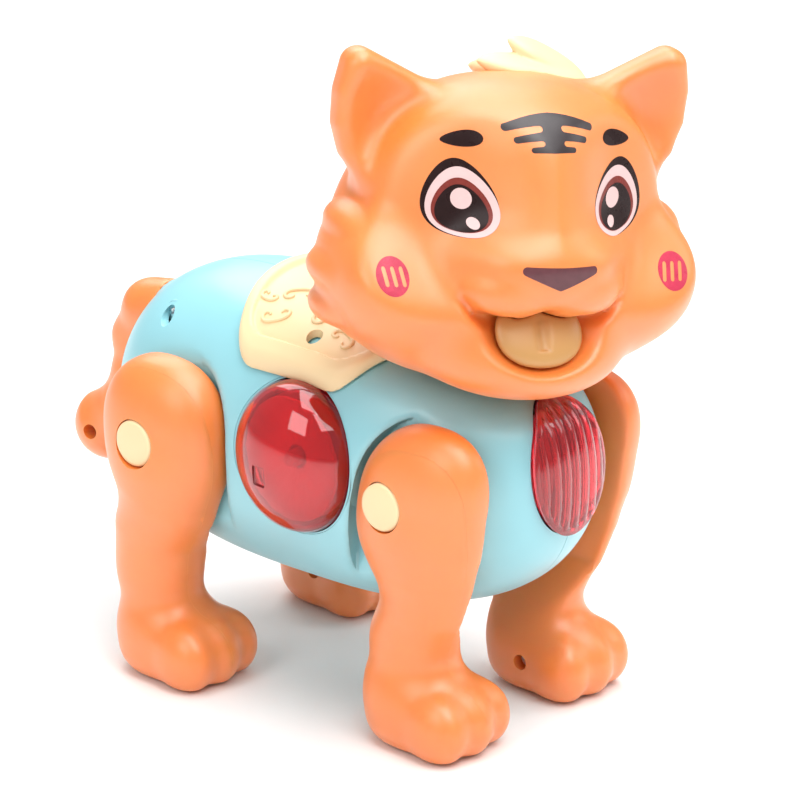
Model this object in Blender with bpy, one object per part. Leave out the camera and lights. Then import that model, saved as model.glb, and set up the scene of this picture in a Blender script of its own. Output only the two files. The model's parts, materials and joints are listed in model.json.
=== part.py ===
"""Crawling tiger cub toy: hollow moulded shells over a crank-driven walking gear."""
import math

import bmesh
import bpy
import numpy as np
from mathutils import Matrix, Vector

MM = 0.001

# Stance: the cub faces -Y, its right flank is -X, the soles stand on Z = 0
STANCE_X = 0.43 * MM
STANCE_Y = -12.4 * MM

# Shells and fits
WALL = 2.2 * MM
GAP = 0.3 * MM

# Body barrel
BODY_MID_Y = 4.0 * MM
BODY_MID_Z = 75.0 * MM
BODY_FRONT_LENGTH = 76.5 * MM
BODY_REAR_LENGTH = 80.0 * MM
BODY_HALF_WIDTH = 41.0 * MM
BODY_HALF_HEIGHT = 45.0 * MM
FRONT_BLUNTNESS = 2.5
REAR_BLUNTNESS = 3.0
SECTION_SQUARENESS = 2.1

# Legs: hub height, and for each end the hub place, pocket floor and outer face
HUB_Z = 75.0 * MM
FRONT_HUB_Y = -40.5 * MM
REAR_HUB_Y = 46.0 * MM
FRONT_POCKET = 30.0 * MM
REAR_POCKET = 34.5 * MM
FRONT_OUTER = 45.5 * MM
REAR_OUTER = 52.5 * MM
POCKET_ROOM = 2.4 * MM
LEG_CLEARANCE = 0.8 * MM
CAP_RADIUS = 6.9 * MM
AXLE_RADIUS = 4.0 * MM
SOLE_SEAT = 1.2 * MM
SOLE_PROUD = 0.3 * MM

# Neck: the head turns about an axis that leans forward
NECK_LEAN = math.radians(11.0)
NECK_Y = -39.5 * MM
NECK_Z = 107.0 * MM
NECK_RADIUS = 11.0 * MM
HEAD_RISE = 36.7 * MM
HEAD_TURN = math.radians(-30.0)
HEAD_SEAM_Y = 5.0 * MM

# Tail: swings about a fore-and-aft pin in the rump
TAIL_Y = 79.0 * MM
TAIL_Z = 95.0 * MM

# Saddle over the back
SADDLE_Y = 1.5 * MM
SADDLE_HALF_LENGTH = 30.5 * MM
SADDLE_HALF_WIDTH = 35.8 * MM

# Lenses: middle heights and half sizes
SIDE_LENS = (-3.6 * MM, 79.0 * MM, 20.6 * MM, 22.2 * MM)
SIDE_LENS_SEAT = 37.0 * MM
SIDE_LENS_BULGE = 14.0 * MM
CHEST_LENS = (0.0, 81.0 * MM, 14.8 * MM, 18.6 * MM)

# Walking gear
CRANK_Y = 0.75 * MM
CRANK_RADIUS = 2.0 * MM
LEVER_LENGTH = 11.0 * MM
PIN_RADIUS = 2.0 * MM
BAR_INNER = 19.5 * MM
BAR_THICKNESS = 2.2 * MM

# Batteries and the switch beside them, which rests at its off end
SWITCH_TRAVEL = 4.4
CELL_RADIUS = 7.1 * MM
CELL_LENGTH = 50.0 * MM
CELL_PITCH = 14.9 * MM
TRAY_BOTTOM = 44.5 * MM
TRAY_TOP = 61.0 * MM

ORANGE = ("orange_vinyl", (0.90, 0.36, 0.12), 0.42, 0.0)
BLUE = ("blue_plastic", (0.42, 0.74, 0.80), 0.32, 0.0)
CREAM = ("cream_plastic", (0.88, 0.72, 0.42), 0.38, 0.0)
RED = ("red_clear", (0.55, 0.02, 0.03), 0.06, 0.0)
DARK = ("dark_plastic", (0.05, 0.05, 0.06), 0.45, 0.0)
GREY = ("gear_plastic", (0.62, 0.63, 0.65), 0.40, 0.0)
STEEL = ("bright_steel", (0.70, 0.71, 0.73), 0.25, 1.0)
BOARD = ("green_board", (0.05, 0.28, 0.12), 0.45, 0.0)
CELL = ("cell_jacket", (0.10, 0.12, 0.16), 0.30, 0.0)
RUBBER = ("sole_rubber", (0.10, 0.09, 0.09), 0.80, 0.0)


# Blended forms: each takes points (n, 3) and gives a distance, below zero inside

def ellipsoid(p, centre, radii):
    q = p - np.array(centre)
    k0 = np.linalg.norm(q / radii, axis=1)
    k1 = np.linalg.norm(q / np.square(radii), axis=1)
    return k0 * (k0 - 1.0) / np.maximum(k1, 1e-9)


def squared_ellipsoid(p, centre, radii, power):
    q = np.abs(p - np.array(centre)) / np.array(radii)
    return (np.sum(q ** power, axis=1) ** (1.0 / power) - 1.0) * min(radii)


def taper(p, start, end, r_start, r_end):
    a = np.array(start)
    ab = np.array(end) - a
    t = np.clip((p - a) @ ab / (ab @ ab), 0.0, 1.0)
    return np.linalg.norm(p - a - t[:, None] * ab, axis=1) - r_start - t * (r_end - r_start)


def join(a, b, blend):
    h = np.clip(0.5 + 0.5 * (b - a) / blend, 0.0, 1.0)
    return b + (a - b) * h - blend * h * (1.0 - h)


def carve(a, b, blend):
    return -join(-a, b, blend)


def polygon(x, z, corners):
    """Distance to a convex outline whose corners run counter-clockwise."""
    near = np.full(x.shape, 1.0)
    inside = np.full(x.shape, True)
    for (ax, az), (bx, bz) in zip(corners, corners[1:] + corners[:1]):
        dx, dz = bx - ax, bz - az
        t = np.clip(((x - ax) * dx + (z - az) * dz) / (dx * dx + dz * dz), 0.0, 1.0)
        near = np.minimum(near, np.hypot(x - ax - t * dx, z - az - t * dz))
        inside &= dx * (z - az) - dz * (x - ax) > 0.0
    return np.where(inside, -near, near)


def chain(p, knots, blend):
    form = None
    for (a, ra), (b, rb) in zip(knots, knots[1:]):
        piece = taper(p, a, b, ra, rb)
        form = piece if form is None else join(form, piece, blend)
    return form


def mirrored(p):
    return np.column_stack([np.abs(p[:, 0]), p[:, 1], p[:, 2]])


# The barrel and the pieces that follow its skin

def barrel(p, grow=0.0):
    x, y, z = p[:, 0], p[:, 1] - BODY_MID_Y, p[:, 2] - BODY_MID_Z
    n = np.where(y < 0.0, FRONT_BLUNTNESS, REAR_BLUNTNESS)
    s = SECTION_SQUARENESS
    across = np.abs(x / (BODY_HALF_WIDTH + grow)) ** s + np.abs(z / (BODY_HALF_HEIGHT + grow)) ** s
    along = np.abs(y / (np.where(y < 0.0, BODY_FRONT_LENGTH, BODY_REAR_LENGTH) + grow)) ** n
    skin = ((across ** (n / s) + along) ** (1.0 / n) - 1.0) * BODY_HALF_WIDTH
    lift = (NECK_Y - p[:, 1]) * math.sin(NECK_LEAN) + (p[:, 2] - NECK_Z) * math.cos(NECK_LEAN)
    return carve(skin, -(lift - grow), 10.0 * MM)


def pocket_form(p, front):
    """The room for a leg's upper part, from the pocket's floor outwards."""
    q = mirrored(p)
    floor = FRONT_POCKET if front else REAR_POCKET
    room = join(thigh_form(q, front), pocket_foot(q, front), 8.0 * MM) - POCKET_ROOM
    return np.maximum(room, floor - q[:, 0])


def pocket_foot(q, front):
    if front:
        return ellipsoid(q, (FRONT_POCKET, -44.5 * MM, 48 * MM), mm(15, 23.5, 27))
    return ellipsoid(q, (REAR_POCKET, 43.5 * MM, 58 * MM), mm(16, 18.5, 24))


def body_outer(p):
    rump = np.hypot(p[:, 0], p[:, 2] - TAIL_Z) - 8.5 * MM
    ends = np.abs(p[:, 1] - TAIL_Y + 15.0 * MM) - 15.0 * MM
    return join(barrel(p), np.maximum(rump, ends), 3.0 * MM)


def body_cavity(p):
    form = barrel(p, -WALL)
    for front in (True, False):
        form = carve(form, pocket_form(p, front) - WALL, 1.0 * MM)
    return form


def saddle_form(p):
    skin = barrel(p)
    slab = np.maximum(skin - 3.6 * MM, 0.5 * MM - skin)
    bow = 7.6 * MM * np.square(p[:, 0] / (30.0 * MM))
    ends = np.abs(p[:, 1] - SADDLE_Y) - SADDLE_HALF_LENGTH + bow
    flanks = np.abs(p[:, 0]) - SADDLE_HALF_WIDTH
    collar = 21.0 * MM - np.hypot(p[:, 0], p[:, 1] - NECK_Y)
    outline = carve(carve(ends, -flanks, 6.0 * MM), -collar, 1.0 * MM)
    return carve(outline, -np.maximum(slab, 90.0 * MM - p[:, 2]), 1.2 * MM)


# Head, in its own frame: origin at the middle of the skull, -Y through the nose

def ear_form(p):
    side = mirrored(p)
    x, y, z = side[:, 0], side[:, 1], side[:, 2]
    corners = [(22.0, 37.0), (39.5, 20.0), (47.5, 34.0), (45.5, 48.5)]
    outline = polygon(x, z, [(a * MM, b * MM) for a, b in corners])
    thick = np.maximum(np.abs(y - 2.0 * MM) - 1.5 * MM, 0.0)
    leaf = np.hypot(np.maximum(outline, 0.0), thick) + np.minimum(outline, 0.0) * 0.1
    dish = ellipsoid(side, mm(38.5, -10.0, 33.5), mm(12.0, 11.0, 14.5))
    return carve(leaf - 5.0 * MM, dish, 3.0 * MM)


def mouth_form(p):
    bowl = ellipsoid(p, mm(0, -43, -13), mm(19, 20, 16))
    return np.maximum(bowl, p[:, 2] + 10.5 * MM)


def eye_flat(side):
    """The flat place a printed eye lies on, open to the front."""
    slope = 0.40
    depth = (22.0 * MM + side[:, 1] - slope * (side[:, 0] - 23.0 * MM)) / math.hypot(1.0, slope)
    oval = (np.hypot((side[:, 0] - 25.0 * MM) / 19.0, (side[:, 2] - 19.0 * MM) / 18.0) - MM) * 18.0
    return -join(-depth, -oval, 12.0 * MM)


def head_form(p):
    side = mirrored(p)
    form = squared_ellipsoid(p, mm(0, 0, 6), mm(44.5, 34, 40), 2.4)
    nape = p - np.outer(0.55 * np.maximum(0.0, p[:, 1] + 4 * MM), (0.0, 0.0, 1.0))
    form = join(form, squared_ellipsoid(nape, mm(0, -1, -12), mm(49.5, 32, 25.5), 2.3), 9 * MM)
    for reach, z in ((42.0, 6.0), (46.5, -7.5), (45.0, -19.5)):
        form = join(form, ellipsoid(side, mm(reach, 2, z), mm(8.5, 15, 7.2)), 2.5 * MM)
    form = join(form, ellipsoid(side, mm(39, -14, -7), mm(11, 13.5, 12)), 8 * MM)
    form = carve(form, eye_flat(side), 8 * MM)
    form = join(form, taper(p, mm(0, -20, 24), mm(0, -29, 3), 9 * MM, 10 * MM), 10 * MM)
    form = join(form, squared_ellipsoid(p, mm(0, -25, -0.5), mm(19, 16.6, 8.5), 3.0), 5 * MM)
    form = join(form, ellipsoid(p, mm(0, -23, -27), mm(25, 17, 11.5)), 8 * MM)
    smile = [(mm(12, -37, -14.5), 1.8 * MM), (mm(19, -35.5, -12.5), 1.8 * MM),
             (mm(26, -33, -7.0), 0.4 * MM)]
    form = carve(form, np.minimum(mouth_form(p), chain(side, smile, 1 * MM)), 2.5 * MM)
    form = join(form, ellipsoid(side, mm(9.5, -25, -6), mm(14.5, 15.5, 8.8)), 1.8 * MM)
    return join(form, ear_form(p), 3.0 * MM)


def head_lift(p):
    return p[:, 1] * -math.sin(NECK_LEAN) + p[:, 2] * math.cos(NECK_LEAN) + HEAD_RISE


def head_outer(p):
    lift = head_lift(p)
    along = -p[:, 1] * math.cos(NECK_LEAN) - p[:, 2] * math.sin(NECK_LEAN)
    stub = np.maximum(np.hypot(p[:, 0], along) - 19.0 * MM, lift - 20.0 * MM)
    return carve(join(head_form(p), stub, 5.0 * MM), lift - 1.5 * MM, 0.8 * MM)


def head_cavity(p):
    skull = squared_ellipsoid(p, mm(0, 0, 6), mm(40.5, 30, 36), 2.4)
    skull = np.minimum(skull, squared_ellipsoid(p, mm(0, -2, -10), mm(46, 27, 20), 2.3))
    skull = np.maximum(skull, 4 * MM - mouth_form(p))
    form = np.maximum(np.maximum(skull, head_form(p) + WALL), -(head_lift(p) - 4.5 * MM))
    along = -p[:, 1] * math.cos(NECK_LEAN) - p[:, 2] * math.sin(NECK_LEAN)
    stub = np.maximum(np.hypot(p[:, 0], along) - 16.8 * MM, np.abs(head_lift(p) - 12 * MM) - 7.5 * MM)
    return np.minimum(form, stub)


def leaf_form(p, root, tip, face, half_width, half_thick):
    """A flat strand from root to tip, broad in the middle, whose broad side faces `face`."""
    root, tip = np.array(root), np.array(tip)
    length = np.linalg.norm(tip - root)
    along = (tip - root) / length
    normal = np.array(face) - np.dot(face, along) * along
    normal /= np.linalg.norm(normal)
    across = np.cross(normal, along)
    q = p - root
    flat = np.abs(q @ across / half_width) ** 2.4
    tall = np.abs(q @ normal / half_thick) ** 2.4
    ends = np.abs(2.0 * (q @ along) / length - 1.0) ** 2.4
    return ((flat + tall + ends) ** (1.0 / 2.4) - 1.0) * half_thick


def hair_form(p):
    lowest = leaf_form(p, mm(27, 12, 41), mm(-7.5, 12, 47.5), (0.0, -0.3, 1.0), 6.0 * MM, 3.2 * MM)
    middle = leaf_form(p, mm(28, 15, 40), mm(3, 16, 52.5), (0.3, -0.4, 1.0), 6.0 * MM, 3.0 * MM)
    rear = leaf_form(p, mm(24, 17, 40), mm(-4, 26, 43), (0.1, 0.5, 1.0), 6.0 * MM, 3.5 * MM)
    form = join(join(lowest, middle, 2.0 * MM), rear, 2.0 * MM)
    return carve(form, head_form(p) - 0.5 * MM, 2.0 * MM)


def tongue_form(p):
    lean = Matrix.Rotation(math.radians(-33.0), 3, "X")
    q = (p - mm(0, -30.5, -18.3)) @ np.array(lean)
    blade = squared_ellipsoid(q, mm(0, 0, 0), mm(12.6, 3.2, 10.0), 2.2)
    groove = np.hypot(q[:, 0], q[:, 1] + 4.6 * MM) - 1.9 * MM
    blade = carve(blade, np.maximum(groove, np.abs(q[:, 2] - 1.5 * MM) - 6.0 * MM), 1.6 * MM)
    return carve(blade, head_form(p) - 0.8 * MM, 2.0 * MM)


# Legs and tail

def thigh_form(q, front):
    if front:
        lean = np.column_stack([q[:, 0], q[:, 1] + 0.2 * (q[:, 2] - HUB_Z), q[:, 2]])
        size = (FRONT_OUTER - FRONT_POCKET, 22.0 * MM, 23.0 * MM)
        return ellipsoid(lean, (FRONT_POCKET, -46.5 * MM, HUB_Z), size)
    size = (REAR_OUTER - REAR_POCKET, 19.3 * MM, 23.3 * MM)
    return ellipsoid(q, (REAR_POCKET, 44.5 * MM, 77.0 * MM), size)


def shank_form(q, front):
    """The leg between knee and paw, deeper than it is wide."""
    if front:
        deep, knots = 1.25, [((30.5, -47, 62), 13.8), ((30.5, -47.5, 54), 13.7), ((29.5, -46, 43), 13.3),
                            ((28, -39.5, 31), 11.4), ((28, -39, 20), 12)]
    else:
        deep, knots = 1.0, [((36, 43, 64), 15), ((36.3, 43, 56), 14.3), ((36.8, 48.2, 45), 12.4),
                            ((36.8, 49, 33), 12.2), ((36.5, 49, 20), 12)]
    scale = np.array((1.0, 1.0 / deep, 1.0))
    return chain(q * scale, [(mm(*place) * scale, r * MM) for place, r in knots], 6 * MM)


def leg_form(p, side, front):
    q = np.column_stack([p[:, 0] * side, p[:, 1], p[:, 2]])
    foot, knee, inner = mm(36.0, 40.5, 0.0), 47.0, REAR_POCKET
    if front:
        foot, knee, inner = mm(27.0, -45.5, 0.0), 39.0, FRONT_POCKET
    shape = join(thigh_form(q, front), shank_form(q, front), 8 * MM)
    shape = join(shape, squared_ellipsoid(q, foot + mm(0, 2, 8), mm(15.3, 20, 14.5), 2.4), 5 * MM)
    for across in (-9.4, 0.0, 9.4):
        ahead = -8.8 if across else -10.3
        shape = join(shape, ellipsoid(q, foot + mm(across, ahead, 8.0), mm(6.4, 9.5, 9.5)), 1.8 * MM)
    shape = np.maximum(shape, SOLE_PROUD - q[:, 2])
    lean = np.maximum(0.0, knee * MM - q[:, 2]) * 0.75
    return carve(shape, q[:, 0] - inner - LEG_CLEARANCE + lean, 2.0 * MM)


def leg_seam(front):
    return ((39.0, 75.0), (28.0, 12.0)) if front else ((43.5, 75.0), (37.0, 12.0))


def tail_form(p):
    knots = [((0, 80, 95.5), 8.5), ((0, 87, 93.5), 8.3), ((0, 93.2, 84), 6.9), ((0, 93.6, 71), 7.3),
             ((0, 97.5, 60), 8.8), ((0, 105, 53), 11.3)]
    form = chain(p, [(mm(*c), r * MM) for c, r in knots], 4 * MM)
    return np.maximum(form, TAIL_Y + 0.2 * MM - p[:, 1])


# Meshing of a blended form: one vertex in each cell the skin crosses, settled on the skin

def mm(x, y, z):
    return np.array((x, y, z)) * MM


def settle(form, points, cell):
    step = cell * 0.02
    home = points.copy()
    for _ in range(4):
        slope = np.column_stack([form(points + step * e) - form(points - step * e) for e in np.eye(3)])
        slope /= 2.0 * step
        size = np.maximum(np.sum(slope * slope, axis=1), 0.04)
        points = points - slope * (form(points) / size)[:, None]
        points = home + np.clip(points - home, -0.6 * cell, 0.6 * cell)
    return points


def skin_cells(value):
    solid = value < 0.0
    shape = np.array(value.shape) - 1
    total = np.zeros((*shape, 3))
    count = np.zeros(shape)
    for axis in range(3):
        for a in (0, 1):
            for b in (0, 1):
                offset = [a, b]
                offset.insert(axis, 0)
                near = tuple(slice(o, o + s) for o, s in zip(offset, shape))
                offset[axis] = 1
                far = tuple(slice(o, o + s) for o, s in zip(offset, shape))
                crossed = solid[near] != solid[far]
                part = value[near] / np.where(crossed, value[near] - value[far], 1.0)
                offset[axis] = 0
                place = np.tile(np.array(offset, dtype=float), (*shape, 1))
                place[..., axis] = part
                total += np.where(crossed[..., None], place, 0.0)
                count += crossed
    return solid, total, count


def skin_faces(solid, index):
    faces = []
    for axis in range(3):
        u, v = (axis + 1) % 3, (axis + 2) % 3
        low = np.moveaxis(solid, (axis, u, v), (0, 1, 2))
        ids = np.moveaxis(index, (axis, u, v), (0, 1, 2))
        i, j, k = np.nonzero(low[:-1, 1:-1, 1:-1] != low[1:, 1:-1, 1:-1])
        quad = np.column_stack([ids[i, j, k], ids[i, j + 1, k], ids[i, j + 1, k + 1], ids[i, j, k + 1]])
        outward = low[:-1, 1:-1, 1:-1][i, j, k]
        faces.append(np.where(outward[:, None], quad, quad[:, ::-1]))
    return np.concatenate(faces)


def blended_mesh(name, form, low, high, cell):
    low = np.array(low)
    counts = np.ceil((np.array(high) - low) / cell).astype(int) + 1
    axes = [low[i] + cell * np.arange(counts[i]) for i in range(3)]
    grid = np.stack(np.meshgrid(*axes, indexing="ij"), axis=-1).reshape(-1, 3)
    solid, total, count = skin_cells(form(grid).reshape(counts))
    index = np.full(count.shape, -1)
    index[count > 0] = np.arange(np.count_nonzero(count))
    corner = np.argwhere(count > 0)
    points = low + cell * (corner + total[count > 0] / count[count > 0][:, None])
    points = settle(form, points, cell)
    mesh = bpy.data.meshes.new(name)
    mesh.from_pydata(points.tolist(), [], skin_faces(solid, index).tolist())
    mesh.update()
    return mesh


# Objects, materials and cuts

def material(spec):
    name, colour, roughness, metallic = spec
    found = bpy.data.materials.get(name)
    if found:
        return found
    made = bpy.data.materials.new(name)
    made.use_nodes = True
    shader = made.node_tree.nodes["Principled BSDF"]
    shader.inputs["Base Color"].default_value = (*colour, 1.0)
    shader.inputs["Roughness"].default_value = roughness
    shader.inputs["Metallic"].default_value = metallic
    return made


def empty(name, matrix, parent=None):
    made = bpy.data.objects.new(name, None)
    bpy.context.scene.collection.objects.link(made)
    made.parent = parent
    made.matrix_basis = matrix
    return made


def raw(mesh):
    made = bpy.data.objects.new(mesh.name, mesh)
    bpy.context.scene.collection.objects.link(made)
    return made


def apply_modifiers(made):
    depsgraph = bpy.context.evaluated_depsgraph_get()
    mesh = bpy.data.meshes.new_from_object(made.evaluated_get(depsgraph))
    made.modifiers.clear()
    old = made.data
    made.data = mesh
    bpy.data.meshes.remove(old)
    return made


def combine(made, tool, operation, keep=False):
    step = made.modifiers.new(operation.lower(), "BOOLEAN")
    step.object = tool
    step.operation = operation
    step.solver = "EXACT"
    apply_modifiers(made)
    if not keep:
        discard(tool)
    return made


def discard(made):
    mesh = made.data
    bpy.data.objects.remove(made)
    bpy.data.meshes.remove(mesh)


def copy_of(made):
    return raw(made.data.copy())


def is_closed(mesh):
    edit = bmesh.new()
    edit.from_mesh(mesh)
    closed = all(e.is_manifold for e in edit.edges) and all(v.is_manifold for v in edit.verts)
    edit.free()
    return closed


def blended(name, form, low, high, cell, triangles):
    """Mesh a form and thin it; a slightly finer start is taken until the thinned skin is closed."""
    for trial in range(12):
        made = raw(blended_mesh(name, form, low, high, cell * (1.0 - 0.021 * trial)))
        thin = made.modifiers.new("thin", "DECIMATE")
        thin.ratio = min(1.0, triangles / (2.0 * len(made.data.polygons)))
        thin.use_collapse_triangulate = True
        apply_modifiers(made)
        if is_closed(made.data):
            return made
        discard(made)
    raise RuntimeError("no closed skin for " + name)


def box(low, high, bevel=0.0):
    edit = bmesh.new()
    size = np.array(high) - np.array(low)
    middle = (np.array(high) + np.array(low)) / 2.0
    place = Matrix.Translation(middle) @ Matrix.Diagonal((*size, 1.0))
    bmesh.ops.create_cube(edit, size=1.0, matrix=place)
    if bevel:
        bmesh.ops.bevel(edit, geom=edit.edges, offset=bevel, segments=1, affect="EDGES", profile=0.5)
    return from_bmesh("box", edit)


def from_bmesh(name, edit):
    bmesh.ops.recalc_face_normals(edit, faces=edit.faces)
    mesh = bpy.data.meshes.new(name)
    edit.to_mesh(mesh)
    edit.free()
    return raw(mesh)


def turned(profile, matrix, sides=16):
    """Turn (radius, height) stations about local Z; the first and last stations are on the axis."""
    edit = bmesh.new()
    rings = []
    for radius, height in profile:
        if radius == 0.0:
            rings.append([edit.verts.new((0.0, 0.0, height))] * sides)
            continue
        turns = [2.0 * math.pi * i / sides for i in range(sides)]
        ring = [(radius * math.cos(t), radius * math.sin(t), height) for t in turns]
        rings.append([edit.verts.new(place) for place in ring])
    for lower, upper in zip(rings, rings[1:]):
        for i in range(sides):
            j = (i + 1) % sides
            loop = [lower[i], lower[j], upper[j], upper[i]]
            edit.faces.new(list(dict.fromkeys(loop)))
    edit.transform(matrix)
    return from_bmesh("turned", edit)


def rod(radius, start, end, sides=16):
    axis = Vector(end) - Vector(start)
    matrix = Matrix.Translation(start) @ axis.to_track_quat("Z", "Y").to_matrix().to_4x4()
    return turned([(0.0, 0.0), (radius, 0.0), (radius, axis.length), (0.0, axis.length)], matrix, sides)


def hub_rod(radius, side, y, start, end):
    """A rod across the body at hub height."""
    return rod(radius, (side * start, y, HUB_Z), (side * end, y, HUB_Z))


def plate(outline, axis, low, high):
    """Extrude a closed outline of two coordinates along an axis, from low to high."""
    edit = bmesh.new()
    order = [i for i in range(3) if i != axis]
    verts = []
    for a, b in outline:
        place = [0.0, 0.0, 0.0]
        place[axis], place[order[0]], place[order[1]] = low, a, b
        verts.append(edit.verts.new(place))
    face = edit.faces.new(verts)
    push = [0.0, 0.0, 0.0]
    push[axis] = high - low
    grown = bmesh.ops.extrude_face_region(edit, geom=[face])
    moved = [e for e in grown["geom"] if isinstance(e, bmesh.types.BMVert)]
    bmesh.ops.translate(edit, verts=moved, vec=push)
    return from_bmesh("plate", edit)


def ellipse(mid_a, mid_b, half_a, half_b, grow=0.0, count=24):
    turns = [2.0 * math.pi * i / count for i in range(count)]
    a, b = half_a + grow, half_b + grow
    return [(mid_a + a * math.cos(t), mid_b + b * math.sin(t)) for t in turns]


def tidy(made, flatten):
    edit = bmesh.new()
    edit.from_mesh(made.data)
    bmesh.ops.remove_doubles(edit, verts=edit.verts, dist=0.02 * MM)
    bmesh.ops.dissolve_degenerate(edit, edges=edit.edges, dist=0.02 * MM)
    if flatten:
        bmesh.ops.dissolve_limit(edit, angle_limit=math.radians(0.4), verts=edit.verts, edges=edit.edges)
    bmesh.ops.triangulate(edit, faces=edit.faces)
    loose = [v for v in edit.verts if not v.link_faces]
    bmesh.ops.delete(edit, geom=loose, context="VERTS")
    edit.to_mesh(made.data)
    edit.free()


def finish(made, name, spec, parent, flatten=False, angle=40.0):
    tidy(made, flatten)
    made.name = name
    made.data.name = name
    made.data.materials.clear()
    made.data.materials.append(material(spec))
    made.data.polygons.foreach_set("use_smooth", [True] * len(made.data.polygons))
    made.data.set_sharp_from_angle(angle=math.radians(angle))
    made.data.transform(pose(parent).inverted())
    made.parent = parent
    return made


def pose(made):
    return made.matrix_basis.copy() if made.parent else Matrix.Identity(4)


# Assembly

def body_shells(toy):
    whole = blended("whole", body_outer, mm(-50, -84, 24), mm(50, 92, 124), 3.4 * MM, 700)
    inside = blended("inside", body_cavity, mm(-50, -84, 24), mm(50, 92, 124), 4.4 * MM, 260)
    combine(whole, inside, "DIFFERENCE")
    skin_pieces(toy, whole)
    for side in (1, -1):
        for front in (True, False):
            combine(whole, pocket(side, front), "DIFFERENCE")
        for hub_y in (FRONT_HUB_Y, REAR_HUB_Y):
            hole = hub_rod(AXLE_RADIUS + 0.4 * MM, side, hub_y, 20 * MM, 48 * MM)
            combine(whole, hole, "DIFFERENCE")
    seat = TAIL_Y - 0.5 * MM
    combine(whole, rod(12.0 * MM, (0, seat, TAIL_Z), (0, 95 * MM, TAIL_Z), 24), "DIFFERENCE")
    combine(whole, rod(4.1 * MM, (0, 60 * MM, TAIL_Z), (0, 90 * MM, TAIL_Z), 18), "DIFFERENCE")
    neck = neck_matrix()
    column = NECK_RADIUS + 0.4 * MM
    stations = [(0, -9 * MM), (column, -9 * MM), (column, 9 * MM), (0, 9 * MM)]
    combine(whole, turned(stations, neck), "DIFFERENCE")
    combine(whole, box(mm(-5.2, -52.2, 25), mm(5.2, -47.8, 48)), "DIFFERENCE")
    for side, name in ((-1, "body_shell_right"), (1, "body_shell_left")):
        half = copy_of(whole)
        near, far = sorted((side * 0.1, side * 70.0))
        combine(half, box(mm(near, -120, 0), mm(far, 150, 160)), "INTERSECT")
        screw = rod(2.6 * MM, mm(side * 12, 56.5, 104.5), mm(side * 40, 56.5, 104.5), 20)
        combine(half, screw, "DIFFERENCE")
        finish(half, name, BLUE, toy, True)
    discard(whole)


def pocket(side, front):
    low, high = (mm(0, -76, 12), mm(0, 0, 112)) if front else (mm(0, 14, 12), mm(0, 76, 112))
    low[0], high[0] = sorted((side * 24 * MM, side * 62 * MM))
    return blended("pocket", lambda p: pocket_form(p, front), low, high, 2.8 * MM, 150)


def skin_pieces(toy, whole):
    """Cut the chest lens and the battery door out of the skin, and holes for the side lenses."""
    lens = copy_of(whole)
    combine(lens, plate(ellipse(*CHEST_LENS), 1, -100 * MM, -45 * MM), "INTERSECT")
    finish(lens, "chest_lens", RED, toy)
    combine(whole, plate(ellipse(*CHEST_LENS, GAP), 1, -100 * MM, -45 * MM), "DIFFERENCE")
    door = copy_of(whole)
    combine(door, box(mm(-17, -29, 20), mm(17, 27, 60)), "INTERSECT")
    combine(door, rod(2.0 * MM, mm(0, 23, 20), mm(0, 23, 60), 20), "DIFFERENCE")
    finish(door, "battery_door", BLUE, toy)
    combine(whole, box(mm(-17.4, -29.4, 20), mm(17.4, 27.4, 60)), "DIFFERENCE")
    for side in (-1, 1):
        hole = plate(ellipse(*SIDE_LENS, 0.4 * MM), 0, side * 26 * MM, side * 60 * MM)
        combine(whole, hole, "DIFFERENCE")


def side_lens(toy, side, name):
    y, z, half_y, half_z = SIDE_LENS
    mid = np.array((side * SIDE_LENS_SEAT, y, z))
    radii = np.array((SIDE_LENS_BULGE, half_y, half_z))
    reach = radii + 4 * MM
    low, high = mid - reach, mid + reach
    dome = blended(name, lambda p: ellipsoid(p, mid, radii), low, high, 3.0 * MM, 200)
    inner = radii - 2.0 * MM
    hollow = blended("hollow", lambda p: ellipsoid(p, mid, inner), low, high, 3.6 * MM, 90)
    combine(dome, hollow, "DIFFERENCE")
    span = sorted((side * (SIDE_LENS_SEAT - 4 * MM), side * 60 * MM))
    combine(dome, box((span[0], -60 * MM, 20 * MM), (span[1], 60 * MM, 140 * MM)), "INTERSECT")
    finish(dome, name, RED, toy)
    outline = ellipse(*SIDE_LENS, -3.4 * MM, 20)
    lamp = plate(outline, 0, side * (SIDE_LENS_SEAT - 2.4 * MM), side * (SIDE_LENS_SEAT - 1.2 * MM))
    seat = Matrix.Translation((side * (SIDE_LENS_SEAT - 1.4 * MM), y, z))
    bulb = turned([(0, 0), (2.5 * MM, 0), (2.5 * MM, 4 * MM), (1.8 * MM, 5.7 * MM), (0, 6.5 * MM)],
                  seat @ Matrix.Rotation(side * math.pi / 2, 4, "Y"), 12)
    combine(lamp, bulb, "UNION")
    finish(lamp, name.replace("lens", "lamp"), GREY, toy)


def neck_matrix():
    return Matrix.Translation((0, NECK_Y, NECK_Z)) @ Matrix.Rotation(NECK_LEAN, 4, "X")


def torso_fittings(toy):
    saddle = blended("saddle", saddle_form, mm(-42, -34, 86), mm(42, 38, 128), 2.0 * MM, 300)
    combine(saddle, rod(2.4 * MM, mm(-23, 2, 90), mm(-23, 2, 130), 16), "DIFFERENCE")
    finish(saddle, "saddle", CREAM, toy)
    side_lens(toy, -1, "side_lens_right")
    side_lens(toy, 1, "side_lens_left")
    column = NECK_RADIUS / MM
    spool = [(0, -8.6), (13.6, -8.6), (13.6, -5.6), (column, -5.6),
             (column, 6.4), (14.5, 6.4), (14.5, 9.4), (0, 9.4)]
    post = turned([(r * MM, h * MM) for r, h in spool], neck_matrix())
    finish(post, "neck_post", GREY, toy)


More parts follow.
